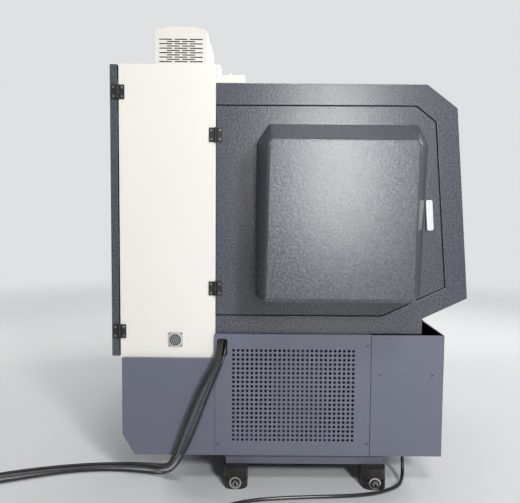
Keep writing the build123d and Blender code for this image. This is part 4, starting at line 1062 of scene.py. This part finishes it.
def makeSocket():
    one = socketSet
    half, corner = one["plate"], one["corner"]
    outline = []
    for side, up, first in ((1, 1, 0), (-1, 1, 90), (-1, -1, 180), (1, -1, 270)):
        for k in range(6):
            turn = math.radians(first + 18 * k)
            outline.append((side * (half - corner) + corner * math.cos(turn),
                            up * (half - corner) + corner * math.sin(turn)))
    count = len(outline)
    points = [(one["faceX"] - depth, one["y"] + y * share, one["z"] + z * share)
              for depth, share in ((0, 1), (one["plateDepth"] - 0.001, 1),
                                   (one["plateDepth"], 0.975)) for y, z in outline]
    faces = [(a, d, c, b) for a, b, c, d in ringFaces(3, count)]
    faces += [tuple(range(count)), tuple(reversed(range(2 * count, 3 * count)))]
    plate = meshObject("socketPlate", points, faces, socketGrey)
    centre = (one["faceX"], one["y"], one["z"])
    rise = one["plateDepth"] - 0.001
    ring = lathed("socketRing", [
        (rise, one["ring"] + 0.001), (one["reach"] - 0.002, one["ring"]),
        (one["reach"] - 0.0005, one["ring"] - 0.0007), (one["reach"], one["ring"] - 0.0016),
        (one["reach"], one["bore"] + 0.0006), (one["reach"] - 0.0045, one["bore"])],
        36, socketGrey, centre)
    insert = lathed("socketInsert", [
        (-0.018, one["bore"]), (one["reach"] - 0.0035, one["bore"] - 0.0002),
        (one["reach"] - 0.0030, one["bore"] - 0.0012)], 36, darkInside, centre)
    ribs = []
    lean = math.radians(one["ribLean"])
    along, across = Vector((0, math.sin(lean), math.cos(lean))), Vector(
        (0, math.cos(lean), -math.sin(lean)))
    low, high = one["reach"] - 0.0032, one["reach"] - 0.0018
    for i in range(one["ribs"]):
        off = (i - (one["ribs"] - 1) / 2) * one["ribPitch"]
        reach = math.sqrt(one["ribReach"] ** 2 - off ** 2)
        middle = Vector((0, one["y"], one["z"])) + across * off
        wide = across * one["ribWidth"] / 2
        base = [middle - along * reach - wide, middle - along * reach + wide,
                middle + along * reach + wide, middle + along * reach - wide]
        points = [(one["faceX"] - d, p.y, p.z) for d in (low, high) for p in base]
        ribs.append(meshObject(f"socketRib{i}", points, [
            (0, 1, 2, 3), (7, 6, 5, 4), (0, 4, 5, 1), (1, 5, 6, 2), (2, 6, 7, 3), (3, 7, 4, 0)],
            keyPlastic))
    whole = joinedPieces("powerSocket", [plate, ring, insert] + ribs)
    faceOutward(whole)
    smoothByAngle(whole, 35)
    putOn(whole, "machine", ("power_socket",))


makeSocket()

# dark rubber seal strip deep in the end door's seam: painted shade that darkens the seam line
print("Stage: seal")

shadeSealSet = {
    "outline": [(0.3555, 1.654), (-0.4935, 1.656), (-0.5755, 1.592), (-0.6325, 0.887),
                (-0.3645, 0.762), (0.3555, 0.761)],
    "near": 0.0017, "far": 0.0047, "frontX": -0.991, "rearX": -0.977,
}


def makeShadeSeal():
    inner = offsetLine(shadeSealSet["outline"], shadeSealSet["near"])
    outer = offsetLine(shadeSealSet["outline"], shadeSealSet["far"])
    count = len(inner)
    points = [(x, y, z) for x in (shadeSealSet["frontX"], shadeSealSet["rearX"])
              for line in (inner, outer) for y, z in line]
    faces = []
    for i in range(count - 1):  # open on the hinges' side
        k = i + 1
        faces += [(i, k, count + k, count + i),
                  (2 * count + k, 2 * count + i, 3 * count + i, 3 * count + k),
                  (k, i, 2 * count + i, 2 * count + k),
                  (count + i, count + k, 3 * count + k, 3 * count + i)]
    for i in (0, count - 1):
        faces.append((i, count + i, 3 * count + i, 2 * count + i))
    # the strip's dark rubber paints the shade inside the seam
    shadeSeal = meshObject("doorSeal", points, faces, beltRubberAndSeamShade)
    faceOutward(shadeSeal)
    putOn(shadeSeal, "machine")


makeShadeSeal()

# screws, bolts, washers and keys
print("Stage: screws and keys")

lowHeads = headTree()
toEnd = (0, math.radians(-90), 0)  # heads look along -X
toFront = (math.radians(90), 0, 0)  # along -Y
toTop = (0, 0, 0)
# the zinc head's second layer, a thin dark hexagon lying on it, is painted shade of the hex
# socket's recess
screwHead = ((0.0055, 0.72, 0.0030, 16, 0, 0, "zinc"), (0.0024, 1, 0.0003, 6, 0, 0.0029, "dark"))
smallHead = ((0.0034, 0.7, 0.0016, 12, 0, 0, "dark"),)
finishOf = {"zinc": zincSteel, "dark": darkScrewAndSocketShade, "white": warmWhite, "keys": keyPlastic}
headSet = {  # body, way, layers (radius, top share, height, sides, spin, lift, finish), places
    "panelScrews": ("machine", toEnd, (
        (0.0058, 0.75, 0.0030, 16, 0, 0, "dark"), (0.0024, 1, 0.0003, 6, 0, 0.0029, "zinc")),
        [(-1.0198, -0.306, 0.629), (-1.0198, -0.306, 0.1965), (-1.0198, 0.3445, 0.193),
         (-1.0198, -0.3586, 0.5007), (-1.0198, -0.5863, 0.5012)]),
    "trunkBolts": ("machine", toTop, ((0.0060, 0.8, 0.0095, 12, 0, 0, "white"),),
                   [(-0.985, 0.2996, 1.7835)]),
    "trunkScrews": ("machine", toTop, ((0.0060, 0.7, 0.0050, 12, 0, 0, "white"),),
                    [(-0.985, 0.2465, 1.7835)]),
    "cabinetHingeScrews": ("machine", toEnd, screwHead, (
        [(-1.0058, 0.3765, z + s) for z in (1.532, 0.875) for s in (-0.019, 0.019)]
        + [(-1.0058, 0.756, z + s) for z in (1.709, 0.685) for s in (-0.019, 0.019)])),
    "endDoorHingeScrews": ("end_door", toEnd, screwHead, [
        (-1.0058, 0.3405, z + s) for z in (1.532, 0.875) for s in (-0.019, 0.019)]),
    "rearDoorHingeScrews": ("cabinet_door", toEnd, screwHead, [
        (-1.0058, 0.792, z + s) for z in (1.709, 0.685) for s in (-0.019, 0.019)]),
    "socketScrews": ("machine", toEnd, smallHead, [
        (-1.0038, 0.5315 + a, 0.650 + b) for a in (-0.026, 0.026) for b in (-0.026, 0.026)]),
    "footWashers": ("machine", toEnd, (
        (0.0265, 0.97, 0.0016, 32, 0, 0, "zinc"), (0.0195, 0.96, 0.0032, 32, 0, 0, "dark")), [
        (-1.0395, 0.2665, 0.029), (-1.0395, -0.3415, 0.029)]),
    "consoleKeys": ("machine", toFront, ((0.0175, 0.9, 0.0030, 4, 45, 0, "keys"),), (
        [(0.705 + 0.033 * i, -0.7733, z) for i in range(11) for z in (1.175, 1.210, 1.245)]
        + [(x, -0.7733, 1.300 + 0.036 * i) for i in range(6) for x in (1.012, 1.048, 1.084)])),
}


def makeHeads():
    for name, (body, facing, layers, places) in headSet.items():
        away = Vector((0, 0, 1))
        away.rotate(Matrix.Rotation(facing[1], 3, "Y") @ Matrix.Rotation(facing[0], 3, "X"))
        made = []
        for i, (radius, share, height, sides, spin, lift, finish) in enumerate(layers):
            values = {"Head Radius": radius, "Top Share": share, "Head Height": height,
                      "Sides": sides, "Spin": math.radians(spin), "Facing": facing,
                      "Material": finishOf[finish]}
            points = [Vector(p) + away * lift for p in places]
            made.append(grown(f"{name}{i}", lowHeads, values, points))
        whole = joinedPieces(name, made)
        smoothByAngle(whole, 40)
        putOn(whole, body)


makeHeads()

print("Stage: done")
